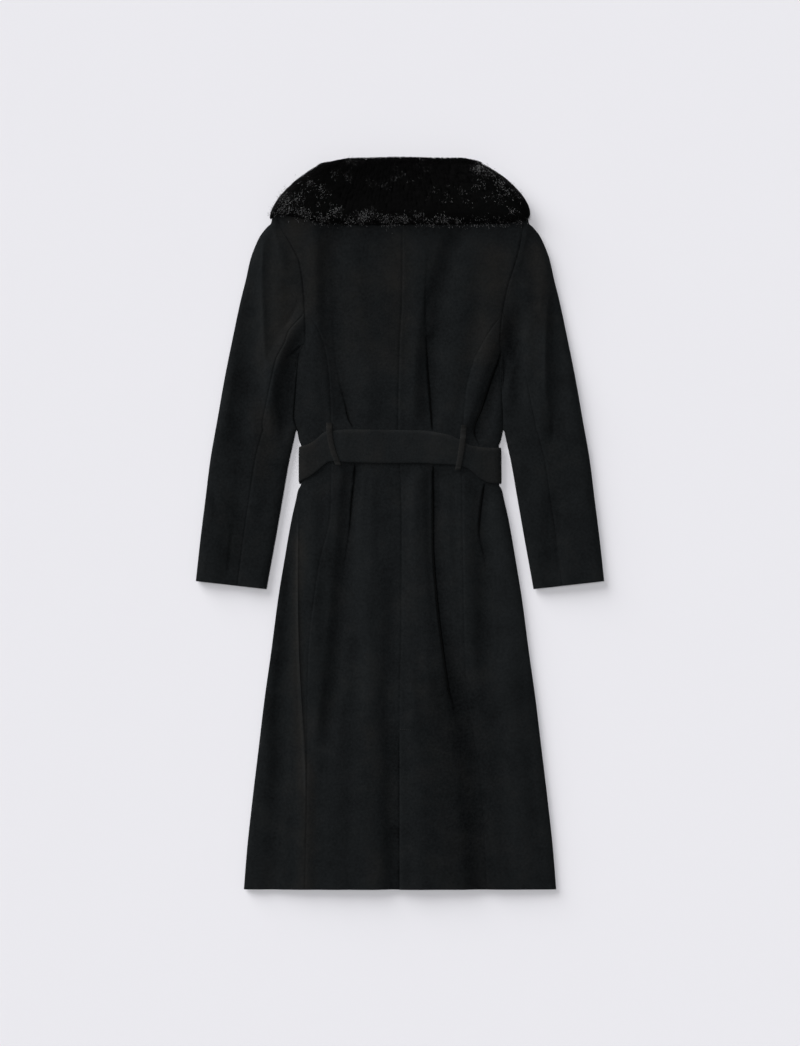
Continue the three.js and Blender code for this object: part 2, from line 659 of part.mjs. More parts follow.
// The laid sleeve as a flat tube. round counts across the upper side from the inner edge to the
// outer one, and on round the outer edge to the lower side; below 0 it goes round the inner edge.
function sleeveFace(side, round, row) {
  const { inner, outer, width } = sleeveRow(side, row);
  const upper = round >= 0 && round <= width;
  const fromInner = upper ? round : round < 0 ? -round : 2 * width - round;
  const share = fromInner / width;
  const at = inner.clone().lerp(outer, share);
  const lift = frontLift(at.x, at.y);
  const closed = smooth(UNDERARM_Y, UNDERARM_Y - UNDERARM_BLEND, inner.y);
  const own = SLEEVE_LOFT + SLEEVE_CROWN * (1 - (2 * share - 1) ** 2) + lift * 0.5;
  const joined = lerp(loftSide(inner.y), own, smooth(0, 0.5, share));
  const upperZ = lerp(joined, own, closed) + foldHeight(at.x, at.y);
  const edgeZ = (lift + SLEEVE_LOFT + lift * 0.5) / 2;
  const flatZ = upper ? upperZ : lift;
  const radius = Math.min(upper ? UPPER_FOLD_RADIUS : LOWER_FOLD_RADIUS, width * 0.45);
  const atInner = rollOver(fromInner, radius, flatZ, edgeZ);
  const atOuter = rollOver(width - fromInner, radius, flatZ, edgeZ);
  let inset = fromInner;
  let z = flatZ;
  if (fromInner < radius) {
    inset = lerp(fromInner, atInner.inset, closed);
    z = lerp(flatZ, atInner.z, closed);
  } else if (width - fromInner < radius) {
    inset = width - atOuter.inset;
    z = atOuter.z;
  }
  const place = inner.clone().lerp(outer, inset / width);
  return new THREE.Vector3(place.x, place.y, z);
}

const UNDERARM_ROW = SLEEVE_ROWS.findIndex((row) => row.inner === UNDERARM_Y);
const ELBOW_FIRST_ROW = SLEEVE_ROWS.findIndex((row) => row.inner < ELBOW_SEAM[0].y);
const elbowAt = (row) => (row < ELBOW_FIRST_ROW ? 0 : elbowShare(sleeveRowInner(row)));
const frontSeamAt = (row) => FRONT_SEAM_SHARE * smooth(UNDERARM_ROW - 0.2, UNDERARM_ROW + 2, row);

// The larger piece: from the elbow seam over the outer edge and back along the lower side.
function topSleeve(side) {
  const upperShares = [0, 0.12, 0.24, 0.36, 0.48, 0.6, 0.72, 0.83, 0.91, 0.965];
  const lowerShares = [0, 0.035, 0.08, 0.5, 1];
  const grid = SLEEVE_ROWS.map((_, row) => {
    const { width } = sleeveRow(side, row);
    const start = elbowAt(row) * width + SEAM_GAP / 2;
    const end = 2 * width - frontSeamAt(row) * width - SEAM_GAP / 2;
    return [
      ...upperShares.map((share) => [lerp(start, width, share), row]),
      ...lowerShares.map((share) => [lerp(width, end, share), row]),
    ];
  });
  return clothWall((round, row) => sleeveFace(side, round, row), grid, -side);
}

// The smaller piece: from the elbow seam over the inner edge to the seam under the sleeve.
function underSleeve(side) {
  const lowerShares = [1, 0.4, 0.15];
  const upperShares = [0, 0.08, 0.2, 0.4, 0.6, 0.8, 1];
  const rows = SLEEVE_ROWS.map((_, row) => row).filter((row) => row >= ELBOW_FIRST_ROW);
  const grid = rows.map((row) => {
    const { width } = sleeveRow(side, row);
    const start = -frontSeamAt(row) * width + SEAM_GAP / 2;
    const end = elbowAt(row) * width - SEAM_GAP / 2;
    const lower = lowerShares.map((share) => (row < UNDERARM_ROW + 1 ? null : [start * share, row]));
    return [...lower, ...upperShares.map((share) => [lerp(0, end, share), row])];
  });
  return clothWall((round, row) => sleeveFace(side, round, row), grid, -side);
}

// ---------------------------------------------------------------- collar
// The stand runs from the back neckline up under the roll, level with the back.
function collarStand() {
  const half = [...NECK_COLUMNS, NECK_POINT.x - 3];
  const columns = [...half.map((x) => -x).reverse(), CENTRE_TOP, ...half];
  const face = (x, y) => new THREE.Vector3(x, y, backHeight(x, y));
  const grid = [0, 0.35, 0.7, 1].map((up) =>
    columns.map((x) => {
      const neck = x === CENTRE_TOP ? BACK_NECK[0].y : backNeck(Math.abs(x));
      return [x, lerp(neck + REST_GAP, ROLL_Y - 9, up)];
    }),
  );
  return clothWall(face, grid, 1);
}

function collarRing(station, side) {
  const turn = THREE.MathUtils.degToRad(station.turn);
  const rise = side < 0 ? station.leftRise : 0;
  const roll = new THREE.Vector3(side * station.rollX, station.rollY, 0);
  const edge = new THREE.Vector3(side * station.edgeX, station.edgeY + rise, 0);
  const across = edge.clone().sub(roll);
  const past = across.clone().normalize();
  const outwards = new THREE.Vector3(-past.y, past.x, 0).multiplyScalar(side);
  const fur = outwards.clone().multiplyScalar(Math.cos(turn)).add(new THREE.Vector3(0, 0, Math.sin(turn)));
  const skin = (share) => {
    const at = roll.clone().addScaledVector(across, share);
    at.addScaledVector(outwards, station.out * 4 * share * (1 - share) + 6 * Math.cos(turn));
    const seat = backHeight(at.x, at.y) + REST_GAP;
    at.z = station.turn > 45 ? Math.max(station.level, seat) : station.level;
    return at;
  };
  const ring = [1, 0.8, 0.55, 0.3, 0.05].map(skin);
  const start = skin(0);
  for (const s of ROLL_SECTION) {
    const high = s.droops && s.high < 0 ? s.high * station.droop : s.high;
    const at = start.clone().addScaledVector(past, -s.past * station.fur);
    ring.push(at.addScaledVector(fur, high * station.fur));
  }
  for (const d of FUR_DEPTH) {
    ring.push(skin(d.across).addScaledVector(fur, furDepth(d.across) * station.fur));
  }
  const end = skin(1).addScaledVector(past, FUR_EDGE.past * station.fur);
  ring.push(end.addScaledVector(fur, FUR_EDGE.high * station.fur));
  return ring;
}

function furCollar() {
  const left = [...COLLAR_STATIONS].reverse().map((station) => collarRing(station, -1));
  const right = COLLAR_STATIONS.slice(1).map((station) => collarRing(station, 1));
  return ringSolid([...left, ...right]);
}

// ---------------------------------------------------------------- belt and loops
// Where the belt touches the coat, and which way is out. round runs across the back and then on
// round each side edge and beneath the front. up is -1 and 1 on the belt's two long edges.
function beltSeat(round, up) {
  const edge = bodyEdge(1, BELT_FRONT.y);
  const side = Math.sign(round) || 1;
  const behind = Math.abs(round) <= edge;
  const along = behind ? round : side * (2 * edge - Math.abs(round));
  const frontHalf = lerp(beltHalf(edge), BELT_FRONT.half, smooth(edge, edge - 60, Math.abs(along)));
  const y = behind ? beltY(along) + up * beltHalf(along) : BELT_FRONT.y + up * frontHalf;
  const x = (along * bodyEdge(side, y)) / edge;
  const beltedFront = (a, b) => panelFace(side, a, b, BELT_LIFT, LOWER_FOLD_RADIUS, -REST_GAP);
  const face = behind ? backFace : beltedFront;
  const step = 0.4 * side;
  const across = face(x, y).sub(face(x - step, y)).multiplyScalar(side);
  const out = across.cross(face(x, y + 1).sub(face(x, y - 1))).normalize();
  return { at: face(x, y), out: behind ? out : out.negate() };
}

function belt() {
  const edge = bodyEdge(1, BELT_FRONT.y);
  const end = 2 * edge + BELT_FRONT.overlap;
  const half = [0, 18, 36, 54, 72, 88, 102, 116, 130, 143, 151, 156, 160, 163.5, 166, edge]
    .concat([edge + 2, edge + 4, edge + 6.5, edge + 9, edge + 20, edge + 60])
    .concat([2 * edge - BELT_RAMP[1], 2 * edge - 42, 2 * edge - BELT_RAMP[0], 2 * edge, end]);
  const rounds = [...half.slice(1).reverse().map((r) => -r), ...half];
  const section = [-1, 0, 1];
  const rings = rounds.map((round) => {
    const x = Math.abs(round) <= edge ? round : Math.sign(round) * (2 * edge - Math.abs(round));
    const doubled = round > edge ? BELT_LIFT * (1 - smooth(...BELT_RAMP, x)) : 0;
    const ring = [];
    for (const up of section) {
      const { at, out } = beltSeat(round, up);
      ring.push(at.addScaledVector(out, BELT_GAP - 0.1));
    }
    for (const up of [...section].reverse()) {
      const { at, out } = beltSeat(round, up);
      const thick = BELT_THICKNESS * (1 - 0.25 * up ** 4);
      ring.push(at.addScaledVector(out, BELT_GAP - 0.1 + thick));
    }
    ring.forEach((p) => (p.z += doubled));
    return ring;
  });
  return ringSolid(rings);
}

// A loop is sewn down above and below the belt and stands over it.
function beltLoop({ topX, topY, footX, footY }) {
  const stops = [0, 0.08, 0.15, 0.22, 0.3, 0.5, 0.7, 0.78, 0.85, 0.92, 1];
  const rings = stops.map((t) => {
    const x = lerp(topX, footX, t);
    const y = lerp(topY, footY, t);
    const overBelt = 1 - smooth(3, 13, Math.abs(y - beltY(x)) - beltHalf(x));
    const z = backHeight(x, y) + REST_GAP + overBelt * BELT_LIFT;
    const reach = LOOP_WIDTH / 2;
    return [
      new THREE.Vector3(x - reach, y, z),
      new THREE.Vector3(x + reach, y, z),
      new THREE.Vector3(x + reach, y, z + LOOP_THICKNESS * 0.8),
      new THREE.Vector3(x, y, z + LOOP_THICKNESS),
      new THREE.Vector3(x - reach, y, z + LOOP_THICKNESS * 0.8),
    ];
  });
  return ringSolid(rings);
}

// ---------------------------------------------------------------- the coat
const cloth = new THREE.MeshStandardMaterial({ color: 0x191b1c, roughness: 0.92, metalness: 0 });
const fur = new THREE.MeshStandardMaterial({ color: 0x070708, roughness: 0.6, metalness: 0 });

const coat = new THREE.Group();
function add(name, geometry, material) {
  const mesh = new THREE.Mesh(geometry, material);
  mesh.name = name;
  coat.add(mesh);
}

for (const side of [-1, 1]) {
  const name = sideName(side);
  add(`centre_back_${name}`, centreBack(side), cloth);
  add(`side_back_${name}`, sideBack(side), cloth);
  add(`front_${name}`, front(side), cloth);
  add(`top_sleeve_${name}`, topSleeve(side), cloth);
  add(`under_sleeve_${name}`, underSleeve(side), cloth);
}
add("collar_stand", collarStand(), cloth);
add("fur_collar", furCollar(), fur);
add("belt", belt(), cloth);
for (const loop of LOOPS) add(loop.name, beltLoop(loop), cloth);

export default coat;
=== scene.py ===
# %% [markdown]
# # A long belted coat, laid flat with its back up
# A coat is flat pieces of cloth sewn into a shape. Here each piece is one grid of points that a
# function lifts into place, with folds and seams added as small heights. The wide collar is faux
# fur made of thin tapered ribbons, because no surface alone looks like hair at its edge.
# Every length is in millimetres until a mesh is made. "left" and "right" are as seen from above.

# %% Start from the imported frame
import math

import bpy
import numpy as np
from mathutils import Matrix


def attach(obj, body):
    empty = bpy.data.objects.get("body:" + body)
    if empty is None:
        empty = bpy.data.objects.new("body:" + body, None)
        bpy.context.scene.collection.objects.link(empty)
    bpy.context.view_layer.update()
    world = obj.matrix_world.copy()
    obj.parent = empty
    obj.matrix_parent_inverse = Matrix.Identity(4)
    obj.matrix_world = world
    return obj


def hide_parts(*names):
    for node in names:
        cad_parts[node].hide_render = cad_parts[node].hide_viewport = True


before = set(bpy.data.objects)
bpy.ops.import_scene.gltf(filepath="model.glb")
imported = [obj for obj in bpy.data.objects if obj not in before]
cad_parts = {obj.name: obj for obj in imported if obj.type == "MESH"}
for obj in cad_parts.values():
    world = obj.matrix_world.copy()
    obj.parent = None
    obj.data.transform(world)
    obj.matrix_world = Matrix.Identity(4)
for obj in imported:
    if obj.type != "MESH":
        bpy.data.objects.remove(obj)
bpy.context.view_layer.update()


MM = 0.001

# %% [markdown]
# ## Numbers that bend: tracks
# A garment is drawn with curves, and a curve is easiest to keep as a short table of places. A
# track runs smoothly through such a table and never overshoots it, as a tailor's curve does.


# %% Tracks and soft steps
def smooth(start, stop, at):
    """0 before start, 1 past stop and a soft step between them."""
    t = np.clip((at - start) / (stop - start), 0, 1)
    return t * t * (3 - 2 * t)


def lerp(start, stop, share):
    return start + (stop - start) * share


def track(at, to):
    """A smooth line through the places at -> to, without overshoot."""
    order = np.argsort(at)
    at, to = np.asarray(at, float)[order], np.asarray(to, float)[order]
    slopes = np.diff(to) / np.diff(at)
    before, after = slopes[:-1], slopes[1:]
    same_way = before * after > 0
    middle = np.where(same_way, 2 * before * after / np.where(same_way, before + after, 1), 0)
    tangents = np.concatenate([slopes[:1], middle, slopes[-1:]])

    def value(a):
        a = np.clip(np.asarray(a, float), at[0], at[-1])
        i = np.clip(np.searchsorted(at, a, side="right") - 1, 0, len(slopes) - 1)
        span = at[i + 1] - at[i]
        t = (a - at[i]) / span
        h = t * t * (3 - 2 * t)
        bend = tangents[i] * t * (1 - t) ** 2 - tangents[i + 1] * t * t * (1 - t)
        return to[i] * (1 - h) + to[i + 1] * h + span * bend

    return value


def columns(rows):
    """A table's columns as arrays."""
    return [np.array(column, float) for column in zip(*rows)]


# %% [markdown]
# ## The cut of the body
# The body is wide at the shoulders, narrow under the belt and flared to the hem. Its two outlines
# differ a little, because a coat never lies down quite evenly. The princess seams run from each
# armhole to the hem and carry the shape of the waist.

# %% Outline and seams of the body
HEM_Y, ROLL_Y, UNDERARM_Y = -622, 600, 294
body_edge_rows = [  # y, left half width, right half width
    (521, 208, 208), (502, 202, 208), (470, 184, 203), (440, 170.5, 195), (394, 164, 181),
    (338, 161.3, 171.5), (310, 161.5, 170), (294, 168, 171.2), (280, 175.2, 171.8), (252, 177.3, 172.8),
    (210, 180.3, 174.2), (180, 182.3, 176), (165, 179, 176), (157, 174.8, 174.8), (141, 171.5, 171.5),
    (129, 167.5, 167.5), (97, 167.5, 167.5), (66, 168, 168), (56, 173, 173), (39, 176.8, 176.8),
    (5, 184.5, 184.5), (-63, 196.4, 196.4), (-131, 207.4, 207.4), (-216, 218.5, 218.5),
    (-301, 230.4, 230.4), (-386, 240.6, 240.6), (-471, 250.8, 250.8), (-556, 260, 260),
    (-622, 265.2, 265.2),
]
princess_rows = [  # y, left, right
    (362, 160.5, 180), (352, 154, 172), (328, 139.4, 154), (300, 129, 137), (273, 123.3, 124),
    (224, 119, 112), (166, 117, 107), (97, 117, 105), (22, 118, 105.5), (-78, 139, 107),
    (-233, 156, 110), (-308, 157, 116), (-357, 157, 125), (-457, 158, 139), (-622, 161, 148),
]
centre_rows = [(560, 5), (380, 3), (300, -1), (170, -3.4), (120, -2), (10, 2.5), (-180, 1.7), (-310, -1), (-622, -1)]
PRINCESS_TOP = {-1: 362, 1: 352}

edge_y, edge_left, edge_right = columns(body_edge_rows)
edge_tracks = {-1: track(edge_y, edge_left), 1: track(edge_y, edge_right)}
princess_y, princess_left, princess_right = columns(princess_rows)
princess_tracks = {-1: track(princess_y, princess_left), 1: track(princess_y, princess_right)}
centre_seam = track(*columns(centre_rows))


def body_edge(x, y):
    """Half width of the body on the side that x is on."""
    return np.where(np.asarray(x) < 0, edge_tracks[-1](y), edge_tracks[1](y))


NECK, SHOULDER = (94, 566), (208, 521)
back_neck = track([0, 31, 62, 82, 94], [548, 549, 553.5, 560, 566])
loft_y, loft_mid, loft_edge = columns([
    (600, 24, 20.5), (520, 23.5, 20), (450, 23, 19.5), (350, 22, 17.5), (220, 20.5, 14.5),
    (160, 19, 13.6), (97, 17.8, 13.4), (40, 19, 13.4), (-40, 20, 13.2), (-350, 20.5, 13),
    (-622, 18.5, 12),
])
loft_middle, loft_side = track(loft_y, loft_mid), track(loft_y, loft_edge)
print("shoulder to shoulder", 2 * SHOULDER[0], "mm, hem", 2 * edge_right[-1], "mm")

# %% [markdown]
# ## Folds and creases
# Cloth that is laid down keeps three kinds of mark. Broad folds are soft troughs and ridges.
# Pleats and creases are sharper: the cloth drops at a line, fast on one side and slowly on the
# other. Last, the whole surface swells and sinks a little. Each kind gets its own table or
# function, so that each can be tuned alone, and all of them are plain heights that add up.

# %% Broad folds
fold_rows = [  # x1, y1, middle x, middle y, x2, y2, rise, reach
    (100, 510, 58, 350, 48, 120, -6.5, 25), (40, 500, 28, 320, 28, 120, 2.4, 22),
    (130, 500, 100, 330, 80, 140, 3.2, 28), (-114, 520, -116, 360, -84, 120, -6.0, 26),
    (-150, 510, -147, 400, -146, 270, 2.2, 18), (-80, 500, -68, 320, -44, 140, 3.0, 26),
    (206, 360, 166, 250, 118, 110, -7.5, 25), (160, 345, 136, 256, 100, 130, 3.6, 22),
    (-150, 320, -148, 235, -145, 130, 2.2, 22), (150, 510, 150, 420, 158, 320, 2.4, 28),
    (58, 150, 64, -60, 98, -310, -5.0, 24), (28, 130, 34, -90, 52, -340, 3.0, 20),
    (88, -190, 118, -400, 140, -690, -5.5, 32), (-78, 150, -94, -70, -124, -370, -6.5, 22),
    (-50, 120, -60, -90, -52, -350, 3.2, 22), (-12, -90, -17, -330, -12, -690, -4.5, 22),
    (20, 100, 20, -120, 22, -370, 2.4, 17), (26, -270, 32, -460, 34, -690, 2.4, 24),
    (-62, -300, -60, -460, -58, -690, 2.2, 30), (-180, 70, -196, -190, -208, -460, -4.8, 22),
    (-150, 80, -148, -160, -138, -420, 2.8, 20), (141, 120, 141, -60, 146, -270, -4.2, 19),
    (168, 80, 176, -90, 190, -300, 3.2, 24), (106, 120, 110, -40, 118, -240, 2.4, 18),
    (-203, -380, -212, -520, -222, -690, -3.0, 22), (-166, -400, -164, -540, -166, -690, 2.6, 22),
    (180, -220, 196, -400, 210, -600, 3.4, 32), (-110, -360, -112, -500, -114, -690, 2.6, 30),
    (-233, 520, -233, 337, -208, 130, 3.0, 20), (-205, 480, -206, 395, -206, 310, 2.4, 20),
    (-166, 352, -202, 290, -221, 165, 4.6, 22), (-170, 316, -188, 262, -197, 130, -6.0, 22),
    (-258, 400, -268, 219, -278, 50, -4.5, 28), (-334, 80, -318, 34, -300, -10, -3.6, 20),
    (-298, 260, -306, 150, -318, 10, 2.6, 24), (-250, 160, -252, 80, -258, -10, 2.6, 26),
    (-272, 70, -282, -40, -292, -150, -3.2, 34), (244, 460, 242, 320, 250, 110, 3.4, 20),
    (262, 410, 262, 172, 258, -110, -4.0, 27), (186, 350, 197, 270, 200, 190, -3.2, 17),
    (214, 410, 218, 330, 220, 250, 2.6, 18), (218, 270, 226, 150, 236, 20, 3.0, 26),
    (290, 250, 298, 130, 314, -10, 3.0, 26),
]
print("broad folds", len(fold_rows))

# %% The belt's line, which presses the folds flat
belt_line_rows = [  # x, y of the belt's middle, half height
    (-172, 97, 31), (-145, 111, 27), (-117, 130, 26), (-85, 130.5, 28), (-30, 129.5, 28.5),
    (30, 129, 28), (75, 125, 26), (100, 119, 22), (116, 112, 21), (135, 102, 27), (152, 97.5, 30),
    (172, 97, 31),
]
belt_x, belt_mid, belt_half_height = columns(belt_line_rows)
belt_y, belt_half = track(belt_x, belt_mid), track(belt_x, belt_half_height)


def under_belt(x, y):
    """1 on the belt and 0 well away from it."""
    return 1 - smooth(-4, 34, np.abs(y - belt_y(x)) - belt_half(x))


# %% Heights of the broad folds
FOLD_FADE, MOST_FADE = 85, 0.42  # a fold ends softly over 85 mm, but over no more of it than this


def bowed_line(y, x1, y1, xm, ym, x2, y2):
    """How far y is along a line bowed through three places, and the line's x there."""
    t = (y - y1) / (y2 - y1)
    middle = (ym - y1) / (y2 - y1)
    bow = xm - lerp(x1, x2, middle)
    return t, lerp(x1, x2, t) + bow * t * (1 - t) / (middle * (1 - middle))


def fold_height(x, y):
    height = np.zeros(np.broadcast(x, y).shape)
    for x1, y1, xm, ym, x2, y2, rise, reach in fold_rows:
        t, line = bowed_line(y, x1, y1, xm, ym, x2, y2)
        away = np.clip(np.abs(x - line) / reach, 0, 1)
        fade = min(FOLD_FADE / abs(y2 - y1), MOST_FADE)
        starts = smooth(-fade * 0.4, fade * 0.6, t)
        along = starts * (1 - smooth(1 - fade * 0.6, 1 + fade * 0.4, t))
        height += rise * (1 - away**2) ** 2 * along
    return height * (1 - 0.85 * under_belt(x, y))


# %% Pleats and sharp creases
pleat_rows = {  # y, x, drop, width on the left, width on the right
    "right_back": [
        (560, 60, 0, 3, 8), (440, 46, 0.3, 4, 9), (379, 42.5, 1.0, 3, 9), (277, 46, 2.2, 1.8, 9),
        (209, 51, 3.2, 1.2, 8), (158, 54.5, 3.4, 1.0, 7), (97, 56, 3.6, 0.8, 7),
        (-29, 56.2, 4.0, 0.8, 8), (-131, 62.9, 4.0, 0.8, 9), (-216, 73.1, 3.6, 0.9, 9),
        (-284, 83.3, 2.4, 1.2, 8), (-312, 91, 0.8, 2.5, 7), (-345, 97, 0, 3, 8), (-622, 104, 0, 3, 8),
    ],
    "left_back": [
        (560, -128, 0, 5, 4), (472, -122, 0.3, 7, 6), (379, -116, 0.4, 8, 6), (294, -112, 0.5, 8, 6),
        (243, -104, 0.8, 7, 4), (200, -93, 2.0, 5, 1.4), (175, -87, 2.8, 4, 1.1),
        (161, -81, 3.0, 4, 1.1), (100, -77, 3.8, 2.5, 0.9), (39, -81.6, 3.6, 2.5, 1.0),
        (-3, -85, 2.0, 4, 1.6), (-60, -93, 0.8, 7, 4), (-140, -103, 0, 9, 6), (-218, -110, 0, 8, 5),
        (-622, -112, 0, 8, 5),
    ],
    "right_side": [
        (352, 173, 0, 2, 4), (300, 172.6, 0, 1.6, 4), (280, 168, 2.4, 1.2, 4),
        (248, 156.4, 4.2, 0.9, 6), (218, 146.4, 4.0, 0.9, 6), (192, 137.7, 3.2, 1.0, 6),
        (158, 126, 2.2, 1.2, 6), (97, 146, 1.0, 2, 5), (66, 142.8, 3.0, 1.2, 6), (17, 136, 3.2, 1.0, 6),
        (-14, 134.3, 2.0, 1.6, 6), (-60, 143, 0.8, 3, 6), (-100, 148, 0, 3, 6), (-622, 205, 0, 3, 6),
    ],
    "left_side": [
        (362, -161, 0, 8, 4), (160, -146, 0, 8, 4), (60, -168, 0, 8, 4), (22, -171.7, -1.6, 9, 2.4),
        (-83, -173.4, -2.2, 10, 1.8), (-207, -171.7, -2.4, 10, 1.6), (-308, -166.6, -2.2, 9, 1.8),
        (-408, -161, -1.6, 9, 2.6), (-507, -160, -0.8, 9, 4), (-622, -190, 0, 8, 5),
    ],
}
pleats = {}
for name, rows in pleat_rows.items():
    pleat_y, *pleat_values = columns(rows)
    pleats[name] = [track(pleat_y, values) for values in pleat_values]
print("pleats", list(pleats))

# %% Small creases
small_crease_rows = [  # x1, y1, middle x, middle y, x2, y2, rise, width on the left, width on the right
    (-233, 488, -233, 345, -226, 250, 2.4, 7.0, 3.4),  # ridge down the left sleeve
    (-218, 236, -207, 180, -211, 118, 1.6, 5.0, 4.0),
    (-166, 303, -176, 292, -190, 282, -3.2, 3.0, 4.0),  # nip at the left armpit
    (-172, 382, -184, 352, -196, 330, -1.2, 3.0, 4.0),
    (253, 401, 246, 330, 251, 170, 2.0, 4.0, 6.0),  # ridge down the right sleeve
    (258, 200, 259, 120, 258, 40, -1.8, 4.0, 4.0),
    (-286, 0, -289, -50, -294, -100, -1.8, 3.0, 5.0),  # near the left cuff
    (-322, 50, -316, 36, -305, 16, -2.2, 3.0, 4.0),
    (262, -10, 266, -50, 271, -96, -1.6, 3.0, 4.0),  # near the right cuff
    (-24, -210, -17, -400, -12, -640, -1.8, 9.0, 3.5),  # beside the vent
    (-53, 110, -56, 20, -63, -130, -1.8, 4.0, 5.0), (-237, -300, -236, -345, -239, -390, 1.2, 3.0, 3.0),
]
print("small creases", len(small_crease_rows))


# %% Heights of pleats and creases
def crease_height(x, y):
    height = np.zeros(np.broadcast(x, y).shape)
    for line, drop, left_width, right_width in pleats.values():
        away = x - line(y)
        width = np.where(away < 0, left_width(y), right_width(y))
        lip = np.where(away < 0, 0.28, 0.1) * np.exp(-(((np.abs(away) - 3.2) / 2.6) ** 2))
        slit = 0.75 * smooth(1.6, 3.0, drop(y)) * np.exp(-((away / 0.85) ** 2))
        height += drop(y) * (lip - np.exp(-np.abs(away) / width) - slit)
    for x1, y1, xm, ym, x2, y2, rise, left_width, right_width in small_crease_rows:
        t, line = bowed_line(y, x1, y1, xm, ym, x2, y2)
        away = x - line - 0.8 * np.sin(y / 23.0 + x1)
        width = np.where(away < 0, left_width, right_width)
        along = smooth(-0.02, 0.25, t) * (1 - smooth(0.7, 1.02, t))
        height += rise * np.exp(-((away / width) ** 2)) * along
    return height * (1 - smooth(0.1, 0.9, under_belt(x, y)))


# %% The uneven lie of the cloth
swell_random = np.random.default_rng(11)
swell_sizes = [  # length and height of each slow wave over the cloth
    (58, 0.34), (50, 0.30), (38, 0.18), (30, 0.14), (22, 0.09), (17, 0.06), (12, 0.04), (9, 0.03),
    (7, 0.03),
]
swells = []
for wave_length, height in swell_sizes:
    wave_x, wave_y = swell_random.normal(0, 1 / wave_length), swell_random.normal(0, 0.8 / wave_length)
    swells.append((wave_x, wave_y, swell_random.uniform(0, 6.3), height))


def swell_height(x, y):
    waves = sum(height * np.sin(kx * x + ky * y + phase) for kx, ky, phase, height in swells)
    return waves * (1 - 0.6 * under_belt(x, y))


# %% Grooves along the seams
VENT_TOP = -352
SEAM_DEPTH, SEAM_WIDTH = 1.0, 1.7


def seam_groove(distance):
    return -SEAM_DEPTH * np.exp(-((distance / SEAM_WIDTH) ** 2))


def body_seams(x, y):
    """The pressed valleys along the seams of the back."""
    groove = seam_groove(x - centre_seam(y)) * smooth(VENT_TOP - 4, VENT_TOP + 6, y)
    for side in (-1, 1):
        shown = smooth(PRINCESS_TOP[side] + 2, PRINCESS_TOP[side] - 12, y)
        groove = groove + 0.6 * seam_groove(x - side * princess_tracks[side](y)) * shown
    armhole = seam_groove(np.abs(x) - body_edge(x, y)) * smooth(UNDERARM_Y - 4, UNDERARM_Y + 6, y)
    return groove + 1.1 * armhole


# %% Painted shade and highlights along the seams
seam_tone_rows = [  # line, how dark, how light, from y, to y
    (centre_seam, 0.3, 0.3, VENT_TOP - 6, 470),
    (lambda y: -princess_tracks[-1](y), 0.25, 0.45, -300, PRINCESS_TOP[-1]),
    (princess_tracks[1], 0.1, 0.4, -300, PRINCESS_TOP[1]),
]


def highlight_strength_at(y):
    """How strong a painted highlight on an edge is along its length: never even."""
    return 0.55 + 0.45 * np.sin(y / 3.1 + 1.7 * np.sin(y / 11.0))


def vent_tones(x, y):
    """Below its top the vent's upper edge gets a painted highlight, and the cloth beneath it a painted shadow."""
    past = x - centre_seam(y)
    shaded = smooth(-26, -4, past) * (past < 0) * (0.5 + 0.8 * np.exp(-((past / 1.8) ** 2)))
    lit = 0.16 * np.exp(-((past / 14) ** 2)) + 0.3 * highlight_strength_at(y) * np.exp(-(((past - 1) / 1.6) ** 2))
    return ((past >= 0) * lit - shaded) * smooth(VENT_TOP + 12, VENT_TOP - 24, y)


def seam_tones(x, y):
    """Painted shade along a seam, a painted highlight on the turned edge beside it, and painted shade along the
    armhole.
    """
    tone = np.zeros(len(x))
    for line, dark, light, first, last in seam_tone_rows:
        away = x - line(y)
        shown = smooth(first, first + 60, y) * (1 - smooth(last - 40, last, y)) * lerp(0.6, 1.0, smooth(20, 120, y))
        beside = light * highlight_strength_at(y) * np.exp(-(((away - 2.2) / 1.3) ** 2))
        tone = tone + shown * (beside - dark * np.exp(-((away / 1.3) ** 2)))
    # Painted shade along the armhole seam.
    armhole = np.exp(-(((np.abs(x) - body_edge(x, y)) / 1.4) ** 2)) * smooth(UNDERARM_Y - 4, UNDERARM_Y + 30, y)
    return tone + vent_tones(x, y) - 0.7 * armhole * (1 - smooth(470, 500, y))
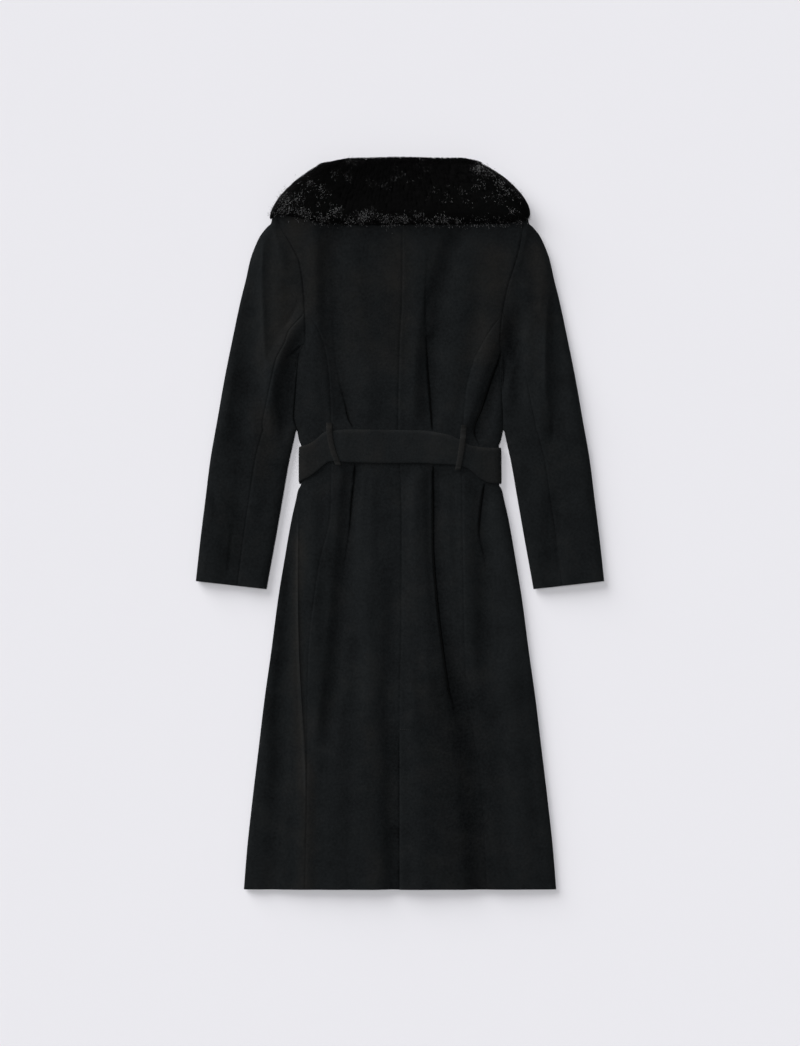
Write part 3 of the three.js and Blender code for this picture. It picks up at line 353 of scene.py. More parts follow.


# %% [markdown]
# ## Painted shading
# The cloth's colour carries painted shade where shade falls: in fold valleys, in broad bands, in the
# creases of pleats, along seams, along the armhole and under the collar's edge. It carries painted
# highlights on fold crests, ridges and turned edges. Some of the wool is a little warmer in tone as
# well. Both are worked out at each point of the cloth and kept as a colour attribute, which the felt
# shader reads.

# %% Where light and shade are painted on the cloth
# Broad bands: tone above 0 is painted light, below 0 painted shade; warmth is the wool's own colour.
shading_and_warmth_rows = [  # x1, y1, middle x, middle y, x2, y2, reach, tone, warmth
    (-166, 580, -190, 411, -214, 250, 40, 0.5, 1.0), (-120, 500, -140, 430, -150, 330, 26, 0.15, 0.8),
    (-178, 325, -184, 245, -190, 140, 17, -0.5, -0.2),
    (-262, 330, -272, 200, -280, 40, 22, -0.25, -0.5), (-278, 60, -280, -10, -285, -100, 36, -0.4, 0.0),
    (-236, 230, -232, 150, -240, 40, 28, 0.1, 0.8), (-90, 460, -80, 380, -80, 260, 36, 0.0, 0.5),
    (150, 500, 156, 400, 140, 240, 46, 0.35, 1.0), (225, 500, 236, 400, 240, 300, 26, 0.1, 0.9),
    (-10, 500, -5, 400, -10, 240, 40, 0.1, 0.8), (180, 330, 178, 230, 176, 150, 18, -0.2, -0.3),
    (190, 340, 196, 270, 200, 190, 14, -0.4, -0.4), (-168, 10, -176, -200, -158, -480, 15, 0.5, 1.0),
    (-156, -380, -158, -520, -164, -680, 20, 0.45, 1.0),
    (-194, 60, -212, -190, -228, -400, 16, -0.45, -0.4), (-58, 40, -58, -150, -52, -330, 18, 0.4, -0.1),
    (182, -20, 192, -144, 204, -280, 24, 0.5, -0.2), (70, -230, 100, -420, 120, -700, 66, -0.4, 0.3),
    (-238, -330, -236, -370, -240, -410, 10, 0.6, 0.4), (150, 60, 160, 0, 165, -80, 26, 0.2, -0.2),
    (-20, 110, -16, 60, -16, 10, 20, -0.25, 0.0), (-50, -200, -44, -420, -40, -700, 26, 0.15, 0.3),
]
# Painted highlights along the crests of ridges.
ridge_highlight_rows = [  # x1, y1, middle x, middle y, x2, y2, reach, tone
    (-233, 488, -233, 345, -226, 250, 2.6, 0.9), (253, 401, 246, 330, 251, 170, 2.6, 0.5),
    (-171.7, 40, -174.5, -190, -156, -500, 2.6, 0.8),
]


# %% Painted shading and warmth of the cloth
def shading_and_warmth_at(points):
    """Painted shading and the warmth of the wool at points in mm."""
    x, y = points[:, 0], points[:, 1]
    # Painted shade in fold valleys and painted light on fold crests, after the folds' heights.
    tone, warmth = 0.05 * fold_height(x, y), np.zeros(len(points))
    # Broad bands of painted light and shade, and the wool's warmth.
    for x1, y1, xm, ym, x2, y2, reach, raised, warm in shading_and_warmth_rows:
        t, line = bowed_line(y, x1, y1, xm, ym, x2, y2)
        fade = 50 / abs(y2 - y1)
        band = np.exp(-(((x - line) / reach) ** 2) * 1.6) * smooth(0, fade, t) * (1 - smooth(1 - fade, 1, t))
        tone, warmth = tone + raised * band, warmth + warm * band
    # Painted highlights along ridges.
    for x1, y1, xm, ym, x2, y2, reach, raised in ridge_highlight_rows:
        t, line = bowed_line(y, x1, y1, xm, ym, x2, y2)
        tone = tone + raised * np.exp(-(((x - line) / reach) ** 2)) * smooth(0, 0.15, t) * (1 - smooth(0.85, 1, t))
    # Painted shade in the creases of the pleats, darker where a pleat drops further.
    for line, drop, *_ in pleats.values():
        away = x - line(y)
        pressed = np.exp(-(((away - 0.2) / 1.5) ** 2)) + 0.12 * np.exp(-(((away - 5) / 7) ** 2))
        tone = tone - 0.5 * np.maximum(drop(y), 0) * pressed * (1 - smooth(0.8, 0.99, under_belt(x, y)))
    # Painted shadow across the upper back under the fur collar's edge.
    tone = tone - 0.4 * smooth(455, 512, y) * (1 - smooth(120, 190, np.abs(x + 10)))
    return np.clip(tone + seam_tones(x, y), -1.9, 1.4), np.clip(warmth, -1, 1)


def paint(mesh, name, colours):
    """Keeps a colour for each point of a mesh."""
    layer = mesh.color_attributes.new(name, "FLOAT_COLOR", "POINT")
    layer.data.foreach_set("color", colours.reshape(-1).astype(np.float32))


def paint_shading_and_warmth(obj, tone, warmth):
    """Keeps painted shading and warmth as a colour attribute, with 0.5 as neither."""
    neither, opaque = np.full(len(tone), 0.5), np.ones(len(tone))
    paint(obj.data, "shading_and_warmth", np.stack([0.5 + 0.25 * tone, 0.5 + 0.25 * warmth, neither, opaque], 1))


# %% [markdown]
# ## What lies on what
# The fronts lie on the table, and the collar's ends and the belt lie under them and lift them. The
# back rests on the fronts. A height for each of these layers keeps them from cutting into one
# another, because each layer asks the one beneath it how high it is.

# %% How the fronts lie
CLOTH = 2.4  # thickness of the cloth
SEAM_GAP, REST_GAP = -0.1, 0.5  # sewn pieces overlap a hair's breadth, laid ones stay apart
BELT_THICKNESS, BELT_GAP = 3.4, 0.7
BELT_LIFT = BELT_THICKNESS + BELT_GAP
FRONT_BELT_Y, FRONT_BELT_HALF, BELT_OVERLAP = 97, 28, 28
WRAP, WRAP_LIFT = 45, CLOTH + 1.2
COLLAR_LIFT = 9.3  # the fur's front ends hold the fronts up by this much
collar_front_edge = track([0, 60, 110, 150, 178, 200, 214, 230], [343, 356, 385, 415, 446, 480, 525, 570])


def front_lift(x, y):
    """How far the fronts are held off the table by the collar and the belt beneath them."""
    collar = COLLAR_LIFT * smooth(-68, -22, y - collar_front_edge(np.abs(x)))
    doubled = 1 - smooth(34, 50, np.abs(x))
    on_body = 1 - smooth(172, 182, np.abs(x))
    beside_belt = np.abs(y - FRONT_BELT_Y) - FRONT_BELT_HALF
    belt = BELT_LIFT * (1 + doubled) * (1 - smooth(5, 22, beside_belt)) * on_body
    return np.maximum(collar, belt)


# %% How the back lies
def back_base(x, y):
    """The back's height from its loft and broad folds, as the solid piece has it."""
    share = np.clip(np.abs(x) / body_edge(x, y), 0, 1)
    return lerp(loft_middle(y), loft_side(y), share**2) + fold_height(x, y)


def lowest_back(x, y):
    """The lowest that the back may sink: it rests on the fronts, and on the doubled wrap."""
    wrap = WRAP_LIFT * (1 - smooth(WRAP, WRAP + 26, x)) * (1 - smooth(50, 76, -x))
    return front_lift(x, y) + wrap + 2 * CLOTH + 0.6


def back_height(x, y):
    height = back_base(x, y) + crease_height(x, y) + body_seams(x, y) + swell_height(x, y)
    return np.maximum(height, lowest_back(x, y))


# %% [markdown]
# ## Cloth that rolls over an edge
# A laid coat has no cut edge at its sides. The back rolls down and meets the front, which rolls
# up. A quarter of an ellipse gives that roll, and both halves use the same fold line, so that
# they meet along the side without a gap.

# %% Roll a face over an edge
BACK_ROLL, FRONT_ROLL = 15, 8  # how far in from an edge the roll starts
ARM_BLEND = 16  # below the armhole an open edge turns into a rolled one over this length


def fold_line(x, y):
    return (front_lift(x, y) + back_base(x, y)) / 2


def roll_over(inset, radius, flat_z, edge_z):
    """A face at flat_z rolls over to edge_z where inset runs out. Returns the new inset and z."""
    reach = np.maximum(np.minimum(radius, 2 * np.abs(flat_z - edge_z)), 1e-6)
    angle = (1 - np.clip(inset / reach, 0, 1)) * math.pi / 2
    rolled = np.where(inset < reach, reach * (1 - np.sin(angle)), inset)
    return rolled, np.where(inset < reach, lerp(edge_z, flat_z, np.cos(angle)), flat_z)


def below_arm(y):
    """0 above the armhole and 1 below it."""
    return smooth(UNDERARM_Y, UNDERARM_Y - ARM_BLEND, y)


def shoulder_line(x):
    return lerp(NECK[1], SHOULDER[1], (x - NECK[0]) / (SHOULDER[0] - NECK[0]))


# %% A body panel's face
def panel_face(side, x, y, flat_z, radius, gap):
    """A body panel's outer face, rolled down at its side edge and at the shoulder."""
    edge = edge_tracks[side](y)
    inset = edge - side * x
    rolled, rolled_z = roll_over(inset, radius, flat_z, fold_line(side * edge, y) + gap)
    rolling = below_arm(y)
    at_x = side * (edge - lerp(inset, rolled, rolling))
    at_z = lerp(flat_z, rolled_z, rolling)
    from_shoulder = shoulder_line(side * x) - y
    on_shoulder = (side * x > NECK[0] - 2) & (from_shoulder < radius)
    top, top_z = roll_over(from_shoulder, radius, flat_z, fold_line(x, y) + gap)
    fade = smooth(NECK[0] - 2, NECK[0] + 14, side * x) * on_shoulder
    return np.stack([at_x, lerp(y, y + from_shoulder - top, fade), lerp(at_z, top_z, fade)], -1)


def back_face(side):
    return lambda x, y: panel_face(side, x, y, back_height(x, y), BACK_ROLL, 0)


# %% [markdown]
# ## From a face to a piece of cloth
# Cloth has a thickness that shows at a hem and in a cuff, so each piece is a closed wall: an outer
# grid, an inner grid moved along the normals, and a rim between them. Doing it in code, and not
# with a modifier, keeps the rims exactly on the seams.


# %% Objects, meshes and directions
def new_object(name, data):
    """An object for a mesh, a lamp or a camera, put into the scene."""
    obj = bpy.data.objects.new(name, data)
    bpy.context.scene.collection.objects.link(obj)
    return obj


def mesh_object(name, points, faces, sharp_angle=48):
    mesh = bpy.data.meshes.new(name)
    mesh.from_pydata((points * MM).tolist(), [], faces)
    mesh.validate()
    mesh.shade_smooth()
    mesh.set_sharp_from_angle(angle=math.radians(sharp_angle))
    return new_object(name, mesh)


def unit(ways):
    """Directions with the length 1."""
    return ways / np.maximum(np.linalg.norm(ways, axis=-1, keepdims=True), 1e-9)


def normals_of(face, a, b, outward, step_a=0.4, step_b=0.4):
    along_a = face(a + step_a, b) - face(a - step_a, b)
    along_b = face(a, b + step_b) - face(a, b - step_b)
    return unit(np.cross(along_a, along_b) * outward)


def grid_quads(used):
    """The quads of a grid whose four corners are all used."""
    rows, cols = used.shape
    number = np.arange(rows * cols).reshape(rows, cols)
    quads = np.stack([number[:-1, :-1], number[:-1, 1:], number[1:, 1:], number[1:, :-1]], -1)
    whole = used[:-1, :-1] & used[:-1, 1:] & used[1:, 1:] & used[1:, :-1]
    return quads[whole]


# %% Build a closed wall from a grid
def rims_of(quads, deep):
    """Quads that close the wall where only one quad uses an edge."""
    directed = np.concatenate([quads[:, [i, (i + 1) % 4]] for i in range(4)])
    code = directed[:, 0] * deep + directed[:, 1]
    mirrored = directed[:, 1] * deep + directed[:, 0]
    rim = directed[~np.isin(code, mirrored)]
    return np.stack([rim[:, 1], rim[:, 0], rim[:, 0] + deep, rim[:, 1] + deep], -1)


def cloth_wall(name, face, a, b, outward=1, step_b=0.4, thickness=CLOTH):
    """A closed wall of cloth. Places where a is not a number have no cloth."""
    used = np.isfinite(a)
    safe_a, safe_b = np.where(used, a, 0.0), np.where(used, b, 0.0)
    outer = face(safe_a, safe_b)
    inner = outer - normals_of(face, safe_a, safe_b, outward, step_b=step_b) * thickness
    quads = grid_quads(used)
    deep = outer.shape[0] * outer.shape[1]
    faces = np.concatenate([quads, quads[:, ::-1] + deep, rims_of(quads, deep)])
    points = np.concatenate([outer.reshape(-1, 3), inner.reshape(-1, 3)])
    kept = np.unique(faces)
    renumber = np.zeros(len(points), int)
    renumber[kept] = np.arange(len(kept))
    faces, points = renumber[faces], points[kept]
    first = points[faces[:, 1]] - points[faces[:, 0]]
    second = points[faces[:, 2]] - points[faces[:, 0]]
    volume = np.einsum("ij,ij->i", points[faces[:, 0]], np.cross(first, second)).sum()
    if volume < 0:
        faces = faces[:, ::-1]
    wall = mesh_object(name, points, faces.tolist())
    paint_shading_and_warmth(wall, *shading_and_warmth_at(points))
    return wall


# %% [markdown]
# ## Grids that follow the tailoring
# A straight grid would cut across seams and creases and make them ragged. These grids run from
# guide to guide instead, such as seam, crease, seam, with their columns packed close beside each
# guide, where the surface turns fast.


# %% Columns between guides
def packed(count):
    """0 to 1 in count steps that are close together at both ends."""
    return 0.5 - 0.5 * np.cos(np.linspace(0, math.pi, count + 1))


def between_guides(guides, counts):
    """Shares across a row for arrays of guide shares: one row of columns for each row of cloth."""
    parts = []
    for (start, stop), count in zip(zip(guides[:-1], guides[1:]), counts):
        part = start[:, None] + (stop - start)[:, None] * packed(count)[None, :]
        parts.append(part if not parts else part[:, 1:])
    return np.concatenate(parts, axis=1)


body_rows = np.concatenate([
    [521, 519.5, 517.5, 515, 512, 508.5], np.arange(504, UNDERARM_Y, -4.5), np.arange(UNDERARM_Y, 262, -2.5),
    np.arange(262, 180, -4.5), np.arange(180, 50, -2.6), np.arange(50, VENT_TOP, -5.0),
    np.linspace(VENT_TOP, VENT_TOP - 12, 4), np.linspace(VENT_TOP - 18, HEM_Y, 52),
])


def row_at(outer_y, top):
    """Rows bend towards the top to follow the neck and the shoulder."""
    return outer_y + (top - SHOULDER[1]) * smooth(430, SHOULDER[1], outer_y)


def back_top(x):
    return np.where(x <= NECK[0], back_neck(np.maximum(x, 0)), shoulder_line(x))


# %% [markdown]
# ## The centre backs, with the vent
# Two long pieces meet in the centre back seam. Below the vent's top they part: the right one lies
# over, and the left one runs on beneath it as an underlap. A guide runs down each piece along its
# deepest crease.

# %% Centre backs
UNDERLAP = 40  # how far the vent's lower edge reaches beneath the upper one
centre_top = float(centre_seam(548))
centre_pleats = {1: pleats["right_back"][0], -1: pleats["left_back"][0]}


def outer_seam(side, y):
    """The armhole's edge above the princess seam's top, and the princess seam below it."""
    return np.where(y > PRINCESS_TOP[side], edge_tracks[side](y), princess_tracks[side](y))


def centre_back(side, name):
    outer_edge = outer_seam(side, body_rows)
    inner = side * centre_seam(body_rows)
    guide = np.clip((side * centre_pleats[side](body_rows) - inner) / (outer_edge - inner), 0.15, 0.88)
    shares = between_guides([np.zeros_like(guide), guide, np.ones_like(guide)], [24, 26])
    seam_x = side * centre_top
    top_x = lerp(seam_x, SHOULDER[0], shares)
    y = row_at(body_rows[:, None], back_top(top_x))
    inner_x = side * centre_seam(y) + SEAM_GAP / 2
    outer_x = outer_seam(side, y) - SEAM_GAP / 2
    x = side * lerp(inner_x, outer_x, shares)
    face = back_face(side)
    if side < 0:
        columns_under = UNDERLAP * np.array([1, 0.8, 0.6, 0.4, 0.22, 0.1, 0.04])
        under = centre_seam(body_rows)[:, None] + columns_under[None, :]
        under = np.where(body_rows[:, None] <= VENT_TOP, under, np.nan)
        x = np.concatenate([under, x], axis=1)
        y = np.concatenate([np.repeat(body_rows[:, None], len(columns_under), axis=1), y], axis=1)
        face = vented_face
    return cloth_wall(name, face, x, y)


# %% The vent's underlap
def vented_face(x, y):
    """The left back dips beneath the right back's edge below the vent's top."""
    at = back_face(-1)(x, y)
    near_seam = smooth(-30, -3, x - centre_seam(y))
    below_top = 1 - smooth(VENT_TOP, VENT_TOP + 14, y)
    at[..., 2] -= (CLOTH + REST_GAP) * near_seam * below_top
    return at


back_left = centre_back(-1, "centre_back_left_cloth")
back_right = centre_back(1, "centre_back_right_cloth")
print("centre backs", [len(o.data.polygons) for o in (back_left, back_right)], "faces")

# %% [markdown]
# ## The side backs
# Each fills the space between princess seam and side edge. Its top is a point on the armhole. The
# right one carries the long diagonal crease that runs from the armpit to the belt loop.

# %% Side backs
side_pleats = {1: pleats["right_side"][0], -1: pleats["left_side"][0]}


def side_back(side, name):
    first = int(np.argmax(body_rows < PRINCESS_TOP[side]))
    above, below = body_rows[first - 1], body_rows[first]
    tip_y = lerp(above, below, 0.3)
    tip_x = lerp(edge_tracks[side](above), princess_tracks[side](below), 0.3)
    y = np.concatenate([[tip_y], body_rows[first:]])
    inner = np.concatenate([[tip_x], princess_tracks[side](body_rows[first:])]) + SEAM_GAP / 2
    outer = edge_tracks[side](y) - SEAM_GAP / 2 * smooth(UNDERARM_Y - ARM_BLEND, UNDERARM_Y, y)
    guide = np.clip((side * side_pleats[side](y) - inner) / (outer - inner), 0.12, 0.85)
    shares = between_guides([np.zeros_like(y), guide, np.ones_like(y)], [16, 18])
    x = side * lerp(inner[:, None], outer[:, None], shares)
    return cloth_wall(name, back_face(side), x, np.repeat(y[:, None], x.shape[1], axis=1))


side_left = side_back(-1, "side_back_left_cloth")
side_right = side_back(1, "side_back_right_cloth")
print("side backs", [len(o.data.polygons) for o in (side_left, side_right)], "faces")

# %% [markdown]
# ## The fronts
# They lie face down on the table, the left one over the right one at the wrap, and ride over the
# belt and over the collar's front halves. Their neckline is a deep V that the collar fills.


# %% Fronts
V_BOTTOM, V_SLOPE = 350, 1.43  # the neckline's lowest rows, and how steeply it rises to the neck


def front_face(side):
    def face(x, y):
        over_wrap = WRAP_LIFT * (1 - smooth(50, 70, -x)) if side < 0 else 0
        return panel_face(side, x, y, front_lift(x, y) + over_wrap, FRONT_ROLL, -REST_GAP)

    return face


def front(side, name):
    rows = np.concatenate([
        [521, 518.5, 515, 508, 500], np.linspace(490, 350, 22), np.linspace(342, 180, 22),
        np.linspace(174, 24, 44), np.linspace(0, HEM_Y, 26),
    ])
    in_wrap = np.array([-45, -40, -34, -20, 0, 20, 34, 38, 42, 46, 50, 55, 60, 65, 70], float)
    beside = np.concatenate([np.linspace(0.08, 0.9, 14), [0.93, 0.95, 0.965, 0.98, 0.99, 1]])
    edge = edge_tracks[side](rows) - SEAM_GAP / 2 * smooth(UNDERARM_Y - ARM_BLEND, UNDERARM_Y, rows)
    wrap_end = in_wrap[-1]
    past_wrap = wrap_end + (edge[:, None] - wrap_end) * beside
    across = np.concatenate([np.repeat(in_wrap[None], len(rows), 0), past_wrap], 1)
    top_x = np.concatenate([in_wrap, wrap_end + (SHOULDER[0] - wrap_end) * beside])
    top = np.where(top_x < NECK[0], NECK[1] - (NECK[0] - top_x) * V_SLOPE, shoulder_line(top_x))
    spread = (rows[:, None] - V_BOTTOM) / (SHOULDER[1] - V_BOTTOM)
    y = np.where(rows[:, None] > V_BOTTOM, lerp(V_BOTTOM, top[None, :], spread), rows[:, None])
    return cloth_wall(name, front_face(side), side * across, y, outward=-1)


front_left = front(-1, "front_left_cloth")
front_right = front(1, "front_right_cloth")
print("fronts", [len(o.data.polygons) for o in (front_left, front_right)], "faces")

# %% [markdown]
# ## The sleeves
# A sleeve is a tube, pressed flat. It is walked round: from the inner edge over the upper side to
# the outer edge, and back along the table. The elbow seam shows on the upper side. The top sleeve
# is everything outside it, the under sleeve is the strip inside it.

# %% Sleeve outlines
outer_rows = [
    (523, 216), (508, 219), (503, 225), (498, 229.5), (488, 237.2), (472.6, 244.8), (447, 254.2),
    (413, 261.8), (379, 270.3), (311, 284.8), (243, 298.4), (175, 310.3), (107, 322.2), (39, 330.7),
    (-29, 339.2), (-98.6, 346.8),
]
inner_rows = [(157, 177), (140, 180.4), (107, 187.9), (39, 199.8), (-29, 211.7), (-97, 224), (-112.2, 226.6)]
row_ends = [  # y where each row meets the outer and the inner edge
    (521, 518.5), (513, 508), (504, 500), (490, 482), (468, 462), (444, 440), (420, 418), (395, 394),
    (367, 368), (344, 346), (320, 322), (300, 305), (287, 294), (275, 284), (262, 274), (238, 250),
    (208, 218), (178, 186), (158, 165), (139, 144), (105, 108), (62, 62), (20, 16), (-30, -38),
    (-68, -80), (-98.6, -112.2),
]
sleeve_outer, sleeve_free = track(*columns(outer_rows)), track(*columns(inner_rows))
row_outer = track(np.arange(len(row_ends)), [row[0] for row in row_ends])
row_inner = track(np.arange(len(row_ends)), [row[1] for row in row_ends])
elbow_share = track([352, 322, 274, 218, 108, 16, -112.2], [0.04, 0.24, 0.31, 0.36, 0.43, 0.43, 0.41])
UNDERARM_ROW, ELBOW_ROW, LAST_ROW = 12, 9, len(row_ends) - 1
FREE_Y, LEAN = 157, -1.0  # below FREE_Y the sleeve hangs free; above it leans into the body by LEAN


# %% Where a row of the sleeve starts and ends
def sleeve_inner(side, y):
    """The inner edge follows the armhole, then leans on the coat's side, and then hangs free."""
    clear = lerp(SEAM_GAP / 2, LEAN, below_arm(y))
    beside_body = np.maximum(edge_tracks[side](y) + clear, np.where(y < 175, sleeve_free(y) - 2, 0))
    return np.where(y <= FREE_Y, sleeve_free(y), beside_body)


def leaning(y):
    """1 where the sleeve leans on the coat's side."""
    return smooth(150, 166, y) * below_arm(y)


def sleeve_row(side, row):
    inner_y, outer_y = row_inner(row), row_outer(row)
    inner = np.stack([side * sleeve_inner(side, inner_y), inner_y], -1)
    outer = np.stack([side * sleeve_outer(outer_y), outer_y], -1)
    return inner, outer, np.linalg.norm(outer - inner, axis=-1)


def elbow_at(row):
    """Where the elbow seam crosses a row, as a share of its width."""
    return np.where(row < ELBOW_ROW - 0.5, 0, elbow_share(row_inner(row))) * smooth(ELBOW_ROW - 1, ELBOW_ROW, row)


# %% The sleeve's height
SLEEVE_Z, LEAN_Z = 14.5, 12.6  # height of a free sleeve's upper side, and of its edge on the body


def upper_height(at, share, lift, row, from_inner, width, inner_y):
    """The upper side's height, from the loft at the armhole to the sleeve's own."""
    x, y = at[..., 0], at[..., 1]
    own = SLEEVE_Z + 2 * (1 - (2 * share - 1) ** 2) + lift * 0.5
    joined = lerp(loft_side(inner_y), own, smooth(0, 0.5, share))
    flat = lerp(joined, own, below_arm(inner_y)) + fold_height(x, y)
    seam = seam_groove(from_inner - elbow_at(row) * width) * smooth(ELBOW_ROW - 1, ELBOW_ROW, row)
    armhole = seam_groove(from_inner) * (1 - below_arm(inner_y))
    return flat + crease_height(x, y) + swell_height(x, y) + seam + armhole


# %% The sleeve's face
def sleeve_face(side):
    def face(around, row):
        inner, outer, width = sleeve_row(side, row)
        upper = (around >= 0) & (around <= width)
        from_inner = np.where(upper, around, np.where(around < 0, -around, 2 * width - around))
        share = from_inner / width
        at = inner + (outer - inner) * share[..., None]
        lift = front_lift(at[..., 0], at[..., 1])
        closed = below_arm(inner[..., 1])
        flat = np.where(upper, upper_height(at, share, lift, row, from_inner, width, inner[..., 1]), lift)
        edge_z = (lift * 1.5 + SLEEVE_Z) / 2
        radius = np.minimum(np.where(upper, BACK_ROLL, FRONT_ROLL), width * 0.45)
        inner_edge_z = lerp(edge_z, LEAN_Z, leaning(inner[..., 1]))
        inner_inset, inner_z = roll_over(from_inner, radius, flat, inner_edge_z)
        outer_inset, outer_z = roll_over(width - from_inner, radius, flat, edge_z)
        near_inner = from_inner < radius
        near_outer = ~near_inner & (width - from_inner < radius)
        inset = np.where(near_outer, width - outer_inset, from_inner)
        inset = np.where(near_inner, lerp(from_inner, inner_inset, closed), inset)
        z = np.where(near_inner, lerp(flat, inner_z, closed), np.where(near_outer, outer_z, flat))
        place = inner + (outer - inner) * (inset / width)[..., None]
        return np.concatenate([place, z[..., None]], -1)

    return face


def front_seam_at(row):
    return 0.2 * smooth(UNDERARM_ROW - 0.2, UNDERARM_ROW + 2, row)


# %% Top sleeves and under sleeves
top_rows = np.linspace(0, LAST_ROW, 150)
under_rows = np.linspace(ELBOW_ROW - 0.7, LAST_ROW, 104)
ROW_STEP = 0.05  # a small step in rows, for the slope of the face


def top_sleeve(side, name):
    _, _, width = sleeve_row(side, top_rows)
    start = elbow_at(top_rows) * width + SEAM_GAP / 2
    end = 2 * width - front_seam_at(top_rows) * width - SEAM_GAP / 2
    upper = start[:, None] + (width - start)[:, None] * packed(52)
    shares_below = np.array([0.015, 0.035, 0.06, 0.09, 0.15, 0.3, 0.5, 0.75, 0.9, 1])
    lower = width[:, None] + (end - width)[:, None] * shares_below
    around = np.concatenate([upper, lower], 1)
    rows = np.repeat(top_rows[:, None], around.shape[1], 1)
    return cloth_wall(name, sleeve_face(side), around, rows, -side, ROW_STEP)


def under_sleeve(side, name):
    _, _, width = sleeve_row(side, under_rows)
    start = -front_seam_at(under_rows) * width + SEAM_GAP / 2
    end = np.maximum(elbow_at(under_rows) * width - SEAM_GAP / 2, 0.6)
    lower = start[:, None] * np.array([1, 0.7, 0.45, 0.3, 0.18, 0.08])
    lower = np.where(under_rows[:, None] >= UNDERARM_ROW + 0.8, lower, np.nan)
    around = np.concatenate([lower, end[:, None] * packed(26)], 1)
    rows = np.repeat(under_rows[:, None], around.shape[1], 1)
    return cloth_wall(name, sleeve_face(side), around, rows, -side, ROW_STEP)


sleeves = {}
for side, word in ((-1, "left"), (1, "right")):
    sleeves[f"top_sleeve_{word}"] = top_sleeve(side, f"top_sleeve_{word}_cloth")
    sleeves[f"under_sleeve_{word}"] = under_sleeve(side, f"under_sleeve_{word}_cloth")
print("sleeves", {name: len(o.data.polygons) for name, o in sleeves.items()})

# %% [markdown]
# ## The collar stand
# A stand is a short upright band between neckline and collar. Laid flat it only continues the back
# up to the roll, under the fur.


# %% Collar stand
def stand_face(x, y):
    return np.stack([x, y, back_base(x, y)], -1)


stand_x = np.linspace(-91, 91, 47)
stand_low = back_neck(np.abs(stand_x)) + REST_GAP
stand_y = stand_low[None, :] + (ROLL_Y - 9 - stand_low)[None, :] * np.linspace(0, 1, 12)[:, None]
stand = cloth_wall("collar_stand_cloth", stand_face, np.repeat(stand_x[None], len(stand_y), 0), stand_y)
print("collar stand", len(stand.data.polygons), "faces")

# %% [markdown]
# ## The belt
# A belt is a long tube of the same cloth, turned and pressed flat. It lies on the back, dips under
# the waist at both sides and closes beneath. Its section has full, rounded edges, and those edges
# catch the light, so the section gets more points than its size asks for.


# %% Where the belt lies
belt_edge = float(edge_tracks[1](FRONT_BELT_Y))


def belt_seat(around, up):
    """The coat's face under the belt at a place round the body, and the way out of it."""
    side = -1 if around < 0 else 1
    behind = abs(around) <= belt_edge
    along = around if behind else side * (2 * belt_edge - abs(around))
    front_half = lerp(belt_half(belt_edge), FRONT_BELT_HALF, smooth(belt_edge, belt_edge - 60, abs(along)))
    y = belt_y(along) + up * belt_half(along) if behind else FRONT_BELT_Y + up * front_half
    x = along * edge_tracks[side](y) / belt_edge

    def face(px, py):
        if behind:
            return panel_face(side, px, py, back_base(px, py), BACK_ROLL, 0)
        return panel_face(side, px, py, np.full(np.shape(px), BELT_LIFT), FRONT_ROLL, -REST_GAP)

    step = 0.4 * side
    across = (face(x, y) - face(x - step, y)) * side
    out = unit(np.cross(across, face(x, y + 1) - face(x, y - 1)))
    return face(x, y), out if behind else -out


# %% The belt's section, and the places along it
section_turn = np.linspace(0, 2 * math.pi, 37)[:-1]
section_up = np.sign(np.cos(section_turn)) * np.abs(np.cos(section_turn)) ** 0.42
section_out = 0.5 + 0.5 * np.sign(np.sin(section_turn)) * np.abs(np.sin(section_turn)) ** 0.5
belt_half_way = np.concatenate([
    np.arange(0, 144, 4.0), np.arange(146, belt_edge, 2.0), [belt_edge],
    belt_edge + np.array([1, 2, 3, 4.5, 6.5, 9, 13, 20]),
    np.arange(belt_edge + 30, 2 * belt_edge - 52, 10), 2 * belt_edge - np.arange(50, 32, -2.0),
    np.linspace(2 * belt_edge - 30, 2 * belt_edge + BELT_OVERLAP, 8),
])
belt_way = np.concatenate([-belt_half_way[:0:-1], belt_half_way])
LOOP_PLACES = (-109, 101)  # where the loops cross the belt
print("belt round the body", round(2 * (2 * belt_edge + BELT_OVERLAP)), "mm in", len(belt_way), "sections")


# %% Sweep the belt
def belt_ring(around):
    at, out = belt_seat(around, section_up)
    along = around if abs(around) <= belt_edge else math.copysign(2 * belt_edge - abs(around), around)
    fullness = 1.22 + 0.1 * math.sin(around / 19.0) + 0.07 * math.sin(around / 7.3 + 1)
    under_loop = max(math.exp(-(((around - place) / 12) ** 4)) for place in LOOP_PLACES)
    fullness = lerp(fullness, 1.02, under_loop)  # a loop presses the belt flat
    pucker = -1.1 * np.exp(-(((along - 122 - 8 * section_up) / 4.0) ** 2)) * (section_out > 0.5) * (around > 0)
    lift = BELT_GAP - 0.1 + BELT_THICKNESS * section_out * np.where(section_out > 0.5, fullness, 1) + pucker
    ring = at + out * lift[:, None]
    if around > belt_edge:
        ring[:, 2] += BELT_LIFT * (1 - smooth(34, 50, along))
    ring[:, 2] = np.maximum(ring[:, 2], 0)  # the table presses it flat
    return ring


def ring_solid(name, rings, sharp_angle=50):
    """A closed solid through rings of points, capped at both ends."""
    count = rings.shape[1]
    number = np.arange(rings.shape[0] * count).reshape(rings.shape[0], count)
    a, b = number[:-1], number[1:]
    faces = np.stack([a, np.roll(a, -1, 1), np.roll(b, -1, 1), b], -1).reshape(-1, 4).tolist()
    faces += [number[0, ::-1].tolist(), number[-1].tolist()]
    return mesh_object(name, rings.reshape(-1, 3), faces, sharp_angle)


belt = ring_solid("belt_cloth", np.stack([belt_ring(float(a)) for a in belt_way]))

